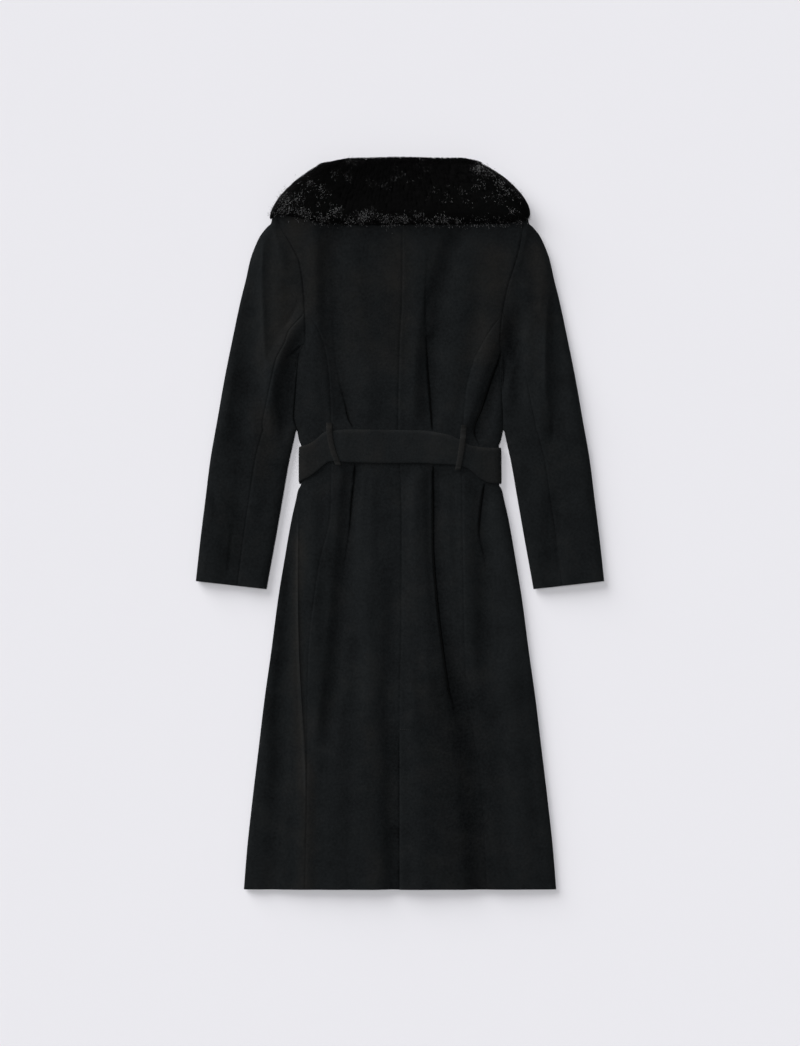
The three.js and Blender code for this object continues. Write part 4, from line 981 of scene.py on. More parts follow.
# %% Painted highlight along the belt's upper edge, and painted shade along its lower edge
rim_tone = 0.6 * np.exp(-(((section_up - 0.93) / 0.09) ** 2)) - 0.5 * np.exp(-(((section_up + 0.98) / 0.06) ** 2))
belt_wave = 0.25 * np.sin(belt_way / 26.0) + 0.15 * np.sin(belt_way / 9.0 + 2)
belt_tone = (rim_tone[None, :] * (1 + belt_wave[:, None]) + 0.5 * belt_wave[:, None]).reshape(-1)
# The wool's warmth, more at the belt's ends and along the painted highlight.
warm_ends = 0.5 * smooth(110, 150, np.abs(belt_way)) + 0.1
belt_warmth = np.repeat(warm_ends[:, None], len(section_up), 1) + 0.5 * rim_tone[None, :]
paint_shading_and_warmth(belt, belt_tone, np.clip(belt_warmth.reshape(-1), -1, 1))
print("belt", len(belt.data.polygons), "faces")

# %% [markdown]
# ## The belt loops
# Each loop is a narrow folded strip, sewn down above the belt and below it. It stands proud of the
# belt, and that small step is what makes it read as a loop.

# %% Belt loops
LOOP_HALF_WIDTH, LOOP_THICKNESS = 5, 2.4
loop_turn = np.linspace(0, 2 * math.pi, 17)[:-1]
loop_across = np.sign(np.cos(loop_turn)) * np.abs(np.cos(loop_turn)) ** 0.45 * LOOP_HALF_WIDTH
loop_high = (0.5 + 0.5 * np.sign(np.sin(loop_turn)) * np.abs(np.sin(loop_turn)) ** 0.7) * LOOP_THICKNESS


def belt_loop(name, top, foot, bend):
    rings = []
    for t in np.concatenate([[0, 0.015, 0.03], np.linspace(0.05, 0.95, 44), [0.97, 0.985, 1]]):
        x, y = lerp(top[0], foot[0], t), lerp(top[1], foot[1], t)
        over = 1 - smooth(3, 13, abs(y - belt_y(x)) - belt_half(x))
        sewn = 1 - 0.45 * float(np.exp(-((min(t, 1 - t) - 0.07) * 40) ** 2))
        z = back_base(np.array(x), np.array(y)) + REST_GAP + over * BELT_LIFT
        across = x + loop_across + bend * 4 * t * (1 - t)
        rings.append(np.stack([across, np.full(len(loop_turn), y), z + loop_high * sewn], -1))
    loop = ring_solid(name, np.stack(rings))
    # Painted light: the loop is lighter than the cloth, and lighter still on its left side, towards the light.
    tone = np.tile(0.3 - 0.1 * loop_across, len(rings))
    paint_shading_and_warmth(loop, tone, np.full(len(tone), 0.9))
    return loop


loop_left = belt_loop("belt_loop_left_cloth", (-120, 170), (-104, 98), -4.5)
loop_right = belt_loop("belt_loop_right_cloth", (108.5, 166), (98, 90), 1.5)
print("belt loops", [len(o.data.polygons) for o in (loop_left, loop_right)], "faces")

# %% [markdown]
# ## The fur collar
# The collar is a strap that starts at the front, runs round the neck and comes back, so it is
# described by stations along its length. At each station a section goes round from the skin side
# over the roll and down the fall to the edge. The same stations shape the dark pile and place the
# hairs on it.

# %% Collar stations
station_columns = ["roll_x", "roll_y", "edge_x", "edge_y", "left_rise", "level", "turn", "out", "fur", "droop"]
station_rows = [
    (0, 600, 0, 511, 0, 24.6, 90, 0, 21, 1), (32, 600, 48, 511, 0, 24.6, 90, 0, 21, 1),
    (64, 600, 95, 511, 0.5, 24.6, 90, 0, 21, 1), (96, 601, 138, 511, 4, 24.6, 90, 1, 20.5, 0.9),
    (117, 602, 176, 511.5, 10, 24.4, 86, 2, 20, 0.7), (126, 601, 203, 512, 12, 24, 70, 4, 17, 0.45),
    (130, 597, 212, 516, -2.5, 22.5, 38, 5, 14, 0.2), (131, 593, 213.5, 523, -8, 15.5, 0, 6, 13.5, 0),
    (125, 587, 210.5, 525, 0, 8.8, -38, 5, 12, 0), (114, 578, 203, 506, 0, 8.6, -70, 4, 9, 0),
    (99, 564, 193, 482, 0, 8.6, -90, 2, 8.6, 0), (79, 545, 172, 446, 0, 8.6, -90, 0, 8.6, 0),
    (56, 516, 138, 410, 0, 8.6, -90, 0, 8.6, 0), (34, 484, 82, 372, 0, 8.6, -90, 0, 8.6, 0),
    (14, 455, 14, 350, 0, 8.6, -90, 0, 8.6, 0),
]
LAST_STATION = len(station_rows) - 1
station_tracks = {
    name: track(np.arange(len(station_rows)), column) for name, column in zip(station_columns, columns(station_rows))
}
fur_share = track([0, 0.35, 0.7, 0.92], [0.97, 1, 0.9, 0.6])
RING = 15  # points in a section
LEFT_DIP = 3.2  # the roll's left end lies this much lower
print("collar stations", len(station_rows), "on each side")


# %% Sections of the collar
def section_points(station, pile):
    """Sections at signed stations (negative on the left). pile scales the depth of the fur."""
    side = np.where(station < 0, -1.0, 1.0)[:, None]
    at = {name: line(np.abs(station))[:, None] for name, line in station_tracks.items()}
    turn = np.radians(at["turn"])
    fur = at["fur"] * pile
    at_end = smooth(2.6, 4.2, np.abs(station)) * smooth(9.5, 7.5, np.abs(station))
    left_dip = (LEFT_DIP * at_end)[:, None] * (side < 0)
    roll = np.concatenate([side * at["roll_x"], at["roll_y"] - left_dip], 1)
    edge = np.concatenate([side * at["edge_x"], at["edge_y"] + np.where(side < 0, at["left_rise"], 0)], 1)
    across = edge - roll
    past = unit(across)
    outwards = np.concatenate([-past[:, 1:] * side, past[:, :1] * side], 1)
    past = np.concatenate([past, np.zeros_like(side)], 1)
    stand_way = np.concatenate([outwards * np.cos(turn), np.sin(turn)], 1)

    def skin(share):
        spot = roll + across * share + outwards * (at["out"] * 4 * share * (1 - share) + 6 * np.cos(turn))
        seat = back_base(spot[:, :1], spot[:, 1:]) + REST_GAP
        on_back = smooth(40, 60, at["turn"])
        z = np.maximum(at["level"], lerp(at["level"], seat, on_back))
        return np.concatenate([spot, z], 1)

    ring = [skin(share) for share in (1, 0.8, 0.55, 0.3, 0.05)]
    start = skin(0)
    for reach, high in ((0.2, -0.34), (0.62, -0.36), (0.92, 0.02), (0.97, 0.42), (0.72, 0.78)):
        lifted = high * at["droop"] if high < 0 else high
        ring.append(start - past * reach * fur + stand_way * lifted * fur)
    for share in (0, 0.35, 0.7, 0.92):
        ring.append(skin(share) + stand_way * float(fur_share(share)) * fur)
    ring.append(skin(1) + past * 0.12 * fur + stand_way * 0.22 * fur)
    return np.stack(ring, 1)


def on_section(points, v):
    """Places at v, from 0 to 15, round closed sections, on a smooth curve through their points."""
    i = np.floor(v).astype(int)
    t = (v - i)[:, None]
    rows = np.arange(len(points))
    p0, p1, p2, p3 = (points[rows, (i + k) % RING] for k in (-1, 0, 1, 2))
    square, cube = 2 * p0 - 5 * p1 + 4 * p2 - p3, 3 * p1 - p0 - 3 * p2 + p3
    return 0.5 * (2 * p1 + (p2 - p0) * t + square * t**2 + cube * t**3)


# %% The dark pile under the hairs
PILE_DEPTH = 0.74  # the pile fills this share of the fur, and the hairs fill the rest
BACK_END = 9  # stations up to here are on the back and get most of the sections
pile_stations = np.concatenate([
    np.linspace(-LAST_STATION, -BACK_END, 26), np.linspace(-8.9, 8.9, 150), np.linspace(BACK_END, LAST_STATION, 26),
])
pile_v = np.linspace(0, RING, 61)[:-1]
pile_sections = section_points(pile_stations, PILE_DEPTH)
pile_rings = np.stack([on_section(pile_sections, np.full(len(pile_stations), v)) for v in pile_v], 1)
pile = ring_solid("fur_collar_pile", pile_rings, 70)
print("collar pile", len(pile.data.polygons), "faces")

# %% [markdown]
# ## Hairs
# Each hair is a ribbon of three steps that narrows to a point. Its root is in the pile, and it
# lies along the collar's own form from the roll towards the edge, a little higher at each step, so
# the outline stays the collar's. Fur falls in locks, so the tips of neighbours draw together.
# Tens of thousands of hairs are joined into a few meshes, far lighter than an object for each.

# %% A map of the collar's surface
map_stations = np.linspace(-LAST_STATION, LAST_STATION, 561)
map_v = np.linspace(5.6, 14.2, 150)
map_share = np.linspace(0, 1, 120)
MIDDLE_ROW = len(map_stations) // 2
CREST_COLUMN, FALL_COLUMN = 50, 70  # just past the roll's crest, and in the fall's upper half


def surface_map(depth):
    """Points on the fur at a depth, evenly spaced from under the roll to the edge of the fall."""
    sections = section_points(map_stations, depth)
    points = np.stack([on_section(sections, np.full(len(map_stations), v)) for v in map_v], 1)
    steps = np.linalg.norm(np.diff(points, axis=1), axis=-1)
    way = np.concatenate([np.zeros((len(points), 1)), np.cumsum(steps, 1)], 1)
    even = np.empty((len(points), len(map_share), 3))
    for row, (line, at) in enumerate(zip(points, way)):
        for axis in range(3):
            even[row, :, axis] = np.interp(map_share * at[-1], at, line[:, axis])
    return even, way[:, -1]


inner_map, fall_lengths = surface_map(PILE_DEPTH)
outer_map, _ = surface_map(1.0)
middle_line = inner_map[:, FALL_COLUMN]
strap_way = np.concatenate([[0], np.cumsum(np.linalg.norm(np.diff(middle_line, axis=0), axis=1))])
strap_way -= np.interp(0, map_stations, strap_way)
strap_length, fall_length = float(strap_way[-1] - strap_way[0]), float(fall_lengths[MIDDLE_ROW])
print("strap", round(strap_length), "mm long, fall", round(fall_length), "mm")


# %% Look a place up on the map
def on_map(grid, along, share):
    """The point at mm along the strap and a share of the way from the roll to the edge."""
    station = np.interp(along, strap_way, map_stations)
    row = (station - map_stations[0]) / (map_stations[1] - map_stations[0])
    column = np.clip(share, 0, 1) * (len(map_share) - 1)
    r = np.clip(row.astype(int), 0, len(map_stations) - 2)
    c = np.clip(column.astype(int), 0, len(map_share) - 2)
    fr, fc = (row - r)[..., None], (column - c)[..., None]
    near = grid[r, c] * (1 - fc) + grid[r, c + 1] * fc
    far = grid[r + 1, c] * (1 - fc) + grid[r + 1, c + 1] * fc
    return near * (1 - fr) + far * fr


def fall_at(along):
    return np.interp(along, strap_way, fall_lengths)


def fringe_at(along):
    """How far the fringe may reach past the edge: more on the back than at the ends."""
    station = np.abs(np.interp(along, strap_way, map_stations))
    return lerp(2.0, 0.9, smooth(3.2, 4.6, station))


# %% Locks
LOCKS = 64  # the table of locks has this many rows and columns, and repeats after them
lock_random = np.random.default_rng(5)
lock_table = lock_random.uniform(-1, 1, (LOCKS, LOCKS, 3))


def lock_pull(along, down, size):
    """Where the lock that a place belongs to has its tip, across and down, and how long it is."""
    i, j = np.floor(along / size).astype(int), np.floor(down / (size * 1.3)).astype(int)
    draw = lock_table[i % LOCKS, j % LOCKS]
    tip_along = (i + 0.5) * size + draw[..., 0] * size * 0.45
    tip_down = (j + 0.5) * size * 1.3 + draw[..., 1] * size * 0.4
    return tip_along, tip_down, draw[..., 2]


# %% The path of each hair
def edge_way(along):
    """The way on past the edge of the fall, laid nearly flat."""
    edge, before = np.ones(len(along)), np.full(len(along), 0.93)
    way = on_map(outer_map, along, edge) - on_map(outer_map, along, before)
    way[:, 2] *= 0.25
    return unit(way)


def pile_normal(along, share):
    """The way out of the pile at a place."""
    clipped = np.clip(share, 0, 0.98)
    ahead = on_map(inner_map, along, clipped + 0.02) - on_map(inner_map, along, clipped)
    beside = on_map(inner_map, along + 1, share) - on_map(inner_map, along - 1, share)
    normal = np.cross(beside, ahead)
    return unit(normal * np.where(normal[:, 2:] + 1e-9 < 0, -1, 1))


def hair_paths(random, along, share, reach, sway, rise, gather=0.6, size=6.5, steps=(0.4, 0.72, 1.0)):
    """Four points down each hair. reach, sway and rise are mm down, mm aside and share of height."""
    count = len(along)
    edge_draw = lock_table[np.floor(along / 4.0).astype(int) % LOCKS, 7, 0] + random.normal(0, 0.3, count)
    fall = fall_at(along)
    down = share * fall
    lock_along, lock_down, lock_draw = lock_pull(along, down, size)
    reach = reach * (1 + 0.22 * lock_draw)
    aside = sway + 2.6 * lock_draw * gather
    tip_along = lerp(along + aside, lock_along + aside, gather)
    tip_down = lerp(down, lock_down, gather * 0.7) + reach
    ragged = fringe_at(along) * np.clip(1 + 0.9 * edge_draw, 0, None)
    path = []
    for t in (0.0, *steps):
        at_along = lerp(along, tip_along, t**1.5)
        at_share = lerp(down, tip_down, t) / fall
        high = rise * math.sin(min(t, 0.9) * math.pi * 0.55)
        low, top = on_map(inner_map, at_along, at_share), on_map(outer_map, at_along, at_share)
        past = np.minimum(np.maximum(at_share - 1, 0) * fall, ragged)[:, None]
        path.append(lerp(low, top, high[:, None]) + edge_way(at_along) * past)
    path = np.stack(path, 1)
    over_coat = (path[..., 1] < shoulder_line(np.abs(path[..., 0])) + 4) & (path[..., 2] > 12)
    floor = np.where(over_coat, back_base(path[..., 0], np.minimum(path[..., 1], ROLL_Y)) + 1.0, 0.3)
    path[..., 2] = np.maximum(path[..., 2], floor + random.uniform(0, 0.8, (count, 1)))
    return path, pile_normal(along, share)


# %% Ribbons from paths
RIBBON_POINTS, RIBBON_CORNERS = 7, 11  # a ribbon is two quads and a triangle: 4 + 4 + 3 corners


def mesh_from_arrays(name, verts, loops, starts):
    """A mesh made from flat arrays, which is far quicker than from lists of faces."""
    mesh = bpy.data.meshes.new(name)
    mesh.vertices.add(len(verts))
    mesh.vertices.foreach_set("co", verts.reshape(-1))
    mesh.loops.add(len(loops))
    mesh.loops.foreach_set("vertex_index", loops.astype(np.int32))
    mesh.polygons.add(len(starts))
    mesh.polygons.foreach_set("loop_start", starts.astype(np.int32))
    mesh.update(calc_edges=True)
    mesh.validate()
    return mesh


def hair_mesh(name, path, normal, width, tones, fade=1.6):
    """Joins ribbons into one mesh. tones are a colour for each hair at its root and at its tip."""
    count = len(path)
    flat = unit(np.cross(path[:, 3] - path[:, 0], normal))
    verts = []
    for k, taper in enumerate((1.0, 0.95, 0.7)):
        offset = flat * (width * taper / 2)[:, None]
        verts += [path[:, k] - offset, path[:, k] + offset]
    verts.append(path[:, 3])
    verts = np.stack(verts, 1).reshape(-1, 3) * MM
    base = (np.arange(count) * RIBBON_POINTS)[:, None]
    loops = np.concatenate([base + [0, 1, 3, 2], base + [2, 3, 5, 4], base + [4, 5, 6]], 1).reshape(-1)
    starts = (np.arange(count)[:, None] * RIBBON_CORNERS + [0, 4, 8]).reshape(-1)
    mesh = mesh_from_arrays(name, verts, loops, starts)
    along = np.array([0, 0, 0.4, 0.4, 0.72, 0.72, 1.0])
    root_tone, tip_tone = tones
    tone = root_tone[:, None, :] + (tip_tone - root_tone)[:, None, :] * (along**fade)[None, :, None]
    paint(mesh, "hair_tone", np.concatenate([tone, np.ones((count, RIBBON_POINTS, 1))], -1))
    mesh.shade_smooth()
    return new_object(name, mesh)


# %% Grow the black undercoat
def black_tones(random, count, dark, light):
    tone = random.uniform(dark, light, (count, 1)) * np.array([[1, 1, 1.08]])
    return tone * 0.5, tone


BACK_FUR_END = 8.6  # the station where the fur goes under the coat
fall_end = float(np.interp(BACK_FUR_END, map_stations, strap_way))
strap_end = float(strap_way[-1]) - 2
growth_rows = [  # number of hairs, where along the strap, where down the fall, reach
    (38000, (0, fall_end), (0.0, 1.0), 15), (30000, (0, fall_end), (0.35, 1.0), 13),
    (12000, (fall_end, strap_end), (0, 0.98), 11),
]
hair_meshes = []
for number, (count, ways, shares, reach) in enumerate(growth_rows):
    random = np.random.default_rng(40 + number)
    along = random.uniform(*ways, count) * np.where(random.random(count) < 0.5, -1, 1)
    share = random.uniform(*shares, count)
    reach = random.uniform(0.7, 1.15, count) * reach * lerp(0.7, 1.0, smooth(0.0, 0.25, share))
    rise = random.uniform(0.55, 1.0, count)
    path, normal = hair_paths(random, along, share, reach, random.normal(0, 1.6, count), rise)
    width = random.uniform(0.5, 0.9, count)
    tones = black_tones(random, count, 0.0003, 0.0016)
    hair_meshes.append(hair_mesh(f"fur_collar_hair_{number + 1}", path, normal, width, tones))
print("hair meshes", [len(o.data.polygons) for o in hair_meshes], "faces")

# %% [markdown]
# ## Pale tips
# The longest hairs, the guard hairs, are black, and their short tips are painted pale: painted
# highlights for the glints of the fur. Only those tips are made here, as short straight ribbons on the
# fur. They lie in tufts: in most tufts all of them point nearly one way, down the fall, and in about a
# third they spread like the rays of a star. Most tufts are along the edge of the fall and at its two
# ends, so a table says where they crowd.

# %% Where the pale tufts crowd
tuft_rows = [  # x, y, spread, number of tufts
    (-194, 547, 13, 46), (-206, 532, 8, 20), (-176, 548, 11, 22), (-162, 532, 9, 18),
    (-157, 575, 12, 14), (-131, 521, 8, 18), (-106, 532, 10, 20), (-88, 518, 8, 14), (-66, 521, 9, 34),
    (-52, 526, 9, 20), (-27, 519, 8, 26), (-10, 514, 7, 14), (7, 519, 8, 24), (29, 524, 7, 14),
    (57, 513, 7, 18), (72, 517, 8, 18), (88, 514, 7, 10), (104, 515, 9, 10), (128, 511, 8, 8),
    (152, 510, 8, 8), (178, 512, 9, 9), (201, 516, 8, 7), (133, 598, 9, 34), (150, 588, 8, 18),
    (168, 576, 9, 16), (180, 562, 9, 18), (134, 570, 9, 8), (196, 552, 8, 12), (165, 548, 9, 8),
    (190, 530, 10, 7), (-75, 610, 9, 9), (-98, 585, 14, 9), (5, 582, 16, 9), (30, 600, 14, 5),
    (60, 560, 18, 8), (-40, 565, 18, 8), (110, 555, 20, 9), (-130, 560, 14, 12), (-202, 535, 5, 8),
    (-187, 533, 6, 9), (-171, 529, 6, 9), (-152, 525, 6, 8), (-135, 520, 5, 5),
]
EDGE_TUFTS = 130  # thin ones, spread evenly along the edge

# %% Scatter the tufts
random = np.random.default_rng(77)
centres, strengths = [], []
for x, y, spread, tufts in tuft_rows:
    centres.append(random.normal(0, spread * 0.6, (tufts, 2)) * [1.25, 0.8] + [x, y])
    strengths.append(np.full(tufts, 1.0))
edge_tufts = random.uniform(-190, 205, EDGE_TUFTS)
centres.append(np.stack([edge_tufts, random.normal(513, 5, EDGE_TUFTS)], 1))
strengths.append(np.full(EDGE_TUFTS, 0.6))
centres, strengths = np.concatenate(centres), np.concatenate(strengths)
centres[:, 1] -= 5 * smooth(552, 535, centres[:, 1])
print("tufts", len(centres))


# %% Find each tuft's place on the fur
MOST_BEYOND = 4  # a tuft may stand this far past the edge
LAST_TUFT_STATION = 7.2  # past this one the fur turns down at the collar's ends


def upward_places():
    """Which places of the map face up."""
    way_along, way_down = np.gradient(outer_map, axis=0), np.gradient(outer_map, axis=1)
    facing = unit(np.cross(way_down, way_along))
    facing *= np.sign(facing[MIDDLE_ROW, FALL_COLUMN, 2])
    return (facing[..., 2] > 0.3) & (np.abs(map_stations) <= LAST_TUFT_STATION)[:, None]


def frames_on_fur(points):
    """For each x, y: the nearest place that faces up, the way down, the slope and the way to the edge."""
    upward = upward_places()
    rows, cols = np.nonzero(upward)
    flat = outer_map[rows, cols, :2]
    found = np.array([np.argmin(((flat - point) ** 2).sum(1)) for point in points])
    row, col = rows[found], cols[found]
    last = len(map_share) - 1 - np.argmax(upward[row, ::-1], axis=1)
    down = unit(outer_map[row, last, :2] - outer_map[row, CREST_COLUMN, :2])
    before, after = outer_map[row, np.maximum(col - 3, 0)], outer_map[row, np.minimum(col + 3, last)]
    run = np.maximum(((after - before)[:, :2] * down).sum(1), 0.4)
    slope = np.clip((after - before)[:, 2] / run, -0.7, 0.9)
    to_edge = np.maximum(((outer_map[row, last, :2] - outer_map[row, col, :2]) * down).sum(1), 0)
    off = points - flat[found]
    beyond = np.clip((off * down).sum(1), 0, MOST_BEYOND) * (np.linalg.norm(off, axis=1) > 1.0)
    return outer_map[row, col], down, slope, to_edge, beyond


# %% Grow the pale tips
hairs_in = (random.uniform(4, 13, len(centres)) * strengths).astype(int)
places = [np.repeat(values, hairs_in, axis=0) for values in frames_on_fur(centres)]
base, down, slope, to_edge, beyond = places
count = len(base)
aside = np.stack([-down[:, 1], down[:, 0]], 1)
star = np.repeat(random.random(len(centres)) < 0.35, hairs_in)
angle = np.where(star, random.uniform(-math.pi, math.pi, count), random.normal(0, 0.55, count))
length = random.uniform(1.4, 4.4, count)
from_tuft = random.normal(0, 3.2, (2, count))
bristle = random.normal(0, 0.35, count)
path = []
for t in (0.0, 0.35, 0.62, 1.0):
    u = beyond + from_tuft[0] + (t - 0.5) * length * np.cos(angle)
    v = from_tuft[1] + (t - 0.5) * length * np.sin(angle)
    past = np.maximum(u - to_edge, 0)
    z = base[:, 2] - 0.6 + slope * (u - past) - 1.3 * past + 0.9 * math.sin(math.pi * t) + bristle
    x, y = (base[:, :2] + down * u[:, None] + aside * v[:, None]).T
    over_coat = (y < shoulder_line(np.abs(x)) + 4) & (z > 5)
    lowest = np.where(over_coat, back_base(x, np.minimum(y, ROLL_Y)) + 1.4, 0.4)
    path.append(np.stack([x, y, np.maximum(z, lowest)], 1))

# %% Colour the pale tips and join them
# Painted highlights: the pale tips stand in for the fur's glints, and are dimmer high on the fur.
tip_highlight = random.uniform(0.0, 1.0, (count, 1)) ** 4.5
high_up = smooth(530, 552, base[:, 1]) * smooth(125, 105, np.abs(base[:, 0]))
tip_tone = tip_highlight * np.array([[0.48, 0.48, 0.49]]) * (1 - 0.45 * high_up)[:, None] + 0.02
width = random.uniform(0.22, 0.4, count)
facing_up = np.tile([0.0, 0.0, 1.0], (count, 1))
tones = (tip_tone * 0.15, tip_tone)
guard_hair = hair_mesh("fur_collar_guard_hair", np.stack(path, 1), facing_up, width, tones, 1.0)
print("guard hairs", count)

# %% [markdown]
# ## Stitches at the vent
# The top of a vent takes all the strain when its wearer sits, so it is held by a short row of hand
# stitches on the upper side. They are small rods of thread laid on the cloth.


# %% Vent stitches
RINGS, SIDES = 7, 8  # rings along a stitch, and points round each of them
stitch_turn = np.linspace(0, 2 * math.pi, SIDES + 1)[:-1]


def stitch_points(middle, way, length, radius):
    """Rings along one stitch, which sinks into the cloth at both ends."""
    across = np.array([-way[1], way[0]])
    points = []
    for t in np.linspace(-1, 1, RINGS):
        spot = middle + way * t * length / 2
        thick = radius * math.sqrt(max(1 - (abs(t) ** 3), 0.04))
        z = float(back_height(spot[0], spot[1])) + radius * (0.7 - 0.9 * t * t)
        points += [[*(spot + across * math.cos(a) * thick), z + math.sin(a) * thick] for a in stitch_turn]
    return points


def stitch_faces(base):
    """Quads between the rings of one stitch, and a cap at each end."""
    faces = []
    for ring in range(base, base + (RINGS - 1) * SIDES, SIDES):
        for i in range(SIDES):
            j = (i + 1) % SIDES
            faces.append([ring + i, ring + j, ring + SIDES + j, ring + SIDES + i])
    last = base + (RINGS - 1) * SIDES
    return [*faces, [base + i for i in range(SIDES - 1, -1, -1)], [last + i for i in range(SIDES)]]


def stitch_row(name, start, stop, count, length, radius):
    start, stop = np.array(start, float), np.array(stop, float)
    way = (stop - start) / np.linalg.norm(stop - start)
    points, faces = [], []
    for share in np.linspace(0, 1, count):
        faces += stitch_faces(len(points))
        points += stitch_points(lerp(start, stop, share), way, length, radius)
    return mesh_object(name, np.array(points), faces)


vent_stitches = stitch_row("vent_stitches", (1.5, -350), (18, -351), 6, 2.6, 0.42)

# %% [markdown]
# ## Materials
# The cloth is black felted wool. Black cloth is hard to shade, because nearly all it sends back is
# the light caught by its raised fibres. So the base is almost black, the mirror part is weak, and a
# little sheen lights the fibres where the cloth turns away. The felt itself, clumped fibres with a
# brushed direction, is one shader group that the coat and the belt both use.


# %% Shader helpers
def new_group(name, inputs, outputs):
    group = bpy.data.node_groups.new(name, "ShaderNodeTree")
    for socket, kind, value in inputs:
        made = group.interface.new_socket(socket, in_out="INPUT", socket_type=kind)
        made.default_value = value
    for socket, kind in outputs:
        group.interface.new_socket(socket, in_out="OUTPUT", socket_type=kind)
    return group, group.nodes.new("NodeGroupInput"), group.nodes.new("NodeGroupOutput")


def add(tree, kind, **values):
    """A node with its properties and plain input values set."""
    node = tree.nodes.new(kind)
    for name, value in values.items():
        if hasattr(node, name):
            setattr(node, name, value)
        else:
            node.inputs[name.replace("_", " ")].default_value = value
    return node


# %% The felt group
felt, felt_in, felt_out = new_group(
    "felted_wool",
    [
        ("Dark", "NodeSocketColor", (0.004, 0.0045, 0.0048, 1)),
        ("Light", "NodeSocketColor", (0.011, 0.0118, 0.0122, 1)),
        ("Clump size", "NodeSocketFloat", 0.004), ("Shading and warmth", "NodeSocketColor", (0.5, 0.5, 0.5, 1)),
    ],
    [("Color", "NodeSocketColor"), ("Roughness", "NodeSocketFloat"), ("Height", "NodeSocketFloat")],
)
place = add(felt, "ShaderNodeTexCoord")
per_clump = add(felt, "ShaderNodeMath", operation="DIVIDE")
per_clump.inputs[0].default_value = 1.0
felt.links.new(felt_in.outputs["Clump size"], per_clump.inputs[1])
clumps = add(felt, "ShaderNodeTexNoise", Detail=5.0, Roughness=0.62)
felt.links.new(place.outputs["Object"], clumps.inputs["Vector"])
felt.links.new(per_clump.outputs[0], clumps.inputs["Scale"])
brushed = add(felt, "ShaderNodeMapping")
brushed.inputs["Scale"].default_value = (1.0, 0.3, 1.0)
brushed.inputs["Rotation"].default_value = (0.0, 0.0, 0.2)
fibres = add(felt, "ShaderNodeTexNoise", Scale=1500.0, Detail=3.0, Roughness=0.7, Distortion=0.6)
felt.links.new(place.outputs["Object"], brushed.inputs["Vector"])
felt.links.new(brushed.outputs["Vector"], fibres.inputs["Vector"])
patches = add(felt, "ShaderNodeTexNoise", Scale=24.0, Detail=3.0, Roughness=0.55)
felt.links.new(place.outputs["Object"], patches.inputs["Vector"])


# %% Sums of sockets
def summed(tree, *terms):
    """Adds sockets, each times a number. The last term may be a plain number."""
    total = None
    for socket, times in terms:
        step = add(tree, "ShaderNodeMath", operation="MULTIPLY_ADD")
        if hasattr(socket, "is_linked"):
            tree.links.new(socket, step.inputs[0])
        else:
            step.inputs[0].default_value = socket
        step.inputs[1].default_value = times
        if total is None:
            step.inputs[2].default_value = 0.0
        else:
            tree.links.new(total, step.inputs[2])
        total = step.outputs[0]
    return total


# %% Colour, roughness and height of the felt
COLOUR_A, COLOUR_B, MIXED = 6, 7, 2  # the colour sockets of a mix node
shading_and_warmth_parts = add(felt, "ShaderNodeSeparateColor")
felt.links.new(felt_in.outputs["Shading and warmth"], shading_and_warmth_parts.inputs[0])
# The attribute's red holds the painted shading, its green the warmth.
light_share = summed(
    felt, (clumps.outputs["Fac"], 0.8), (patches.outputs["Fac"], 0.5), (shading_and_warmth_parts.outputs["Red"], 1.2), (1.0, -0.8)
)
felt_colour = add(felt, "ShaderNodeMix", data_type="RGBA", clamp_factor=True)
felt.links.new(light_share, felt_colour.inputs["Factor"])
felt.links.new(felt_in.outputs["Dark"], felt_colour.inputs[COLOUR_A])
felt.links.new(felt_in.outputs["Light"], felt_colour.inputs[COLOUR_B])
warm_share = summed(felt, (shading_and_warmth_parts.outputs["Green"], 3.2), (patches.outputs["Fac"], 1.6), (1.0, -2.4))
tinted = add(felt, "ShaderNodeMix", data_type="RGBA", blend_type="MULTIPLY", clamp_factor=True)
tinted.inputs[COLOUR_B].default_value = (1.17, 1.0, 0.89, 1)
felt.links.new(warm_share, tinted.inputs["Factor"])
felt.links.new(felt_colour.outputs[MIXED], tinted.inputs[COLOUR_A])
felt.links.new(tinted.outputs[MIXED], felt_out.inputs["Color"])
felt_rough = add(felt, "ShaderNodeMapRange")
felt_rough.inputs["To Min"].default_value = 0.78
felt_rough.inputs["To Max"].default_value = 0.98
felt.links.new(clumps.outputs["Fac"], felt_rough.inputs["Value"])
felt.links.new(felt_rough.outputs["Result"], felt_out.inputs["Roughness"])
felt_height = summed(felt, (fibres.outputs["Fac"], 0.45), (clumps.outputs["Fac"], 1.0))
felt.links.new(felt_height, felt_out.inputs["Height"])
print("felt group", len(felt.nodes), "nodes")


# %% Cloth materials
def new_material(name):
    """A material, its node tree and its shader."""
    material = bpy.data.materials.new(name)
    material.use_nodes = True
    return material, material.node_tree, material.node_tree.nodes["Principled BSDF"]


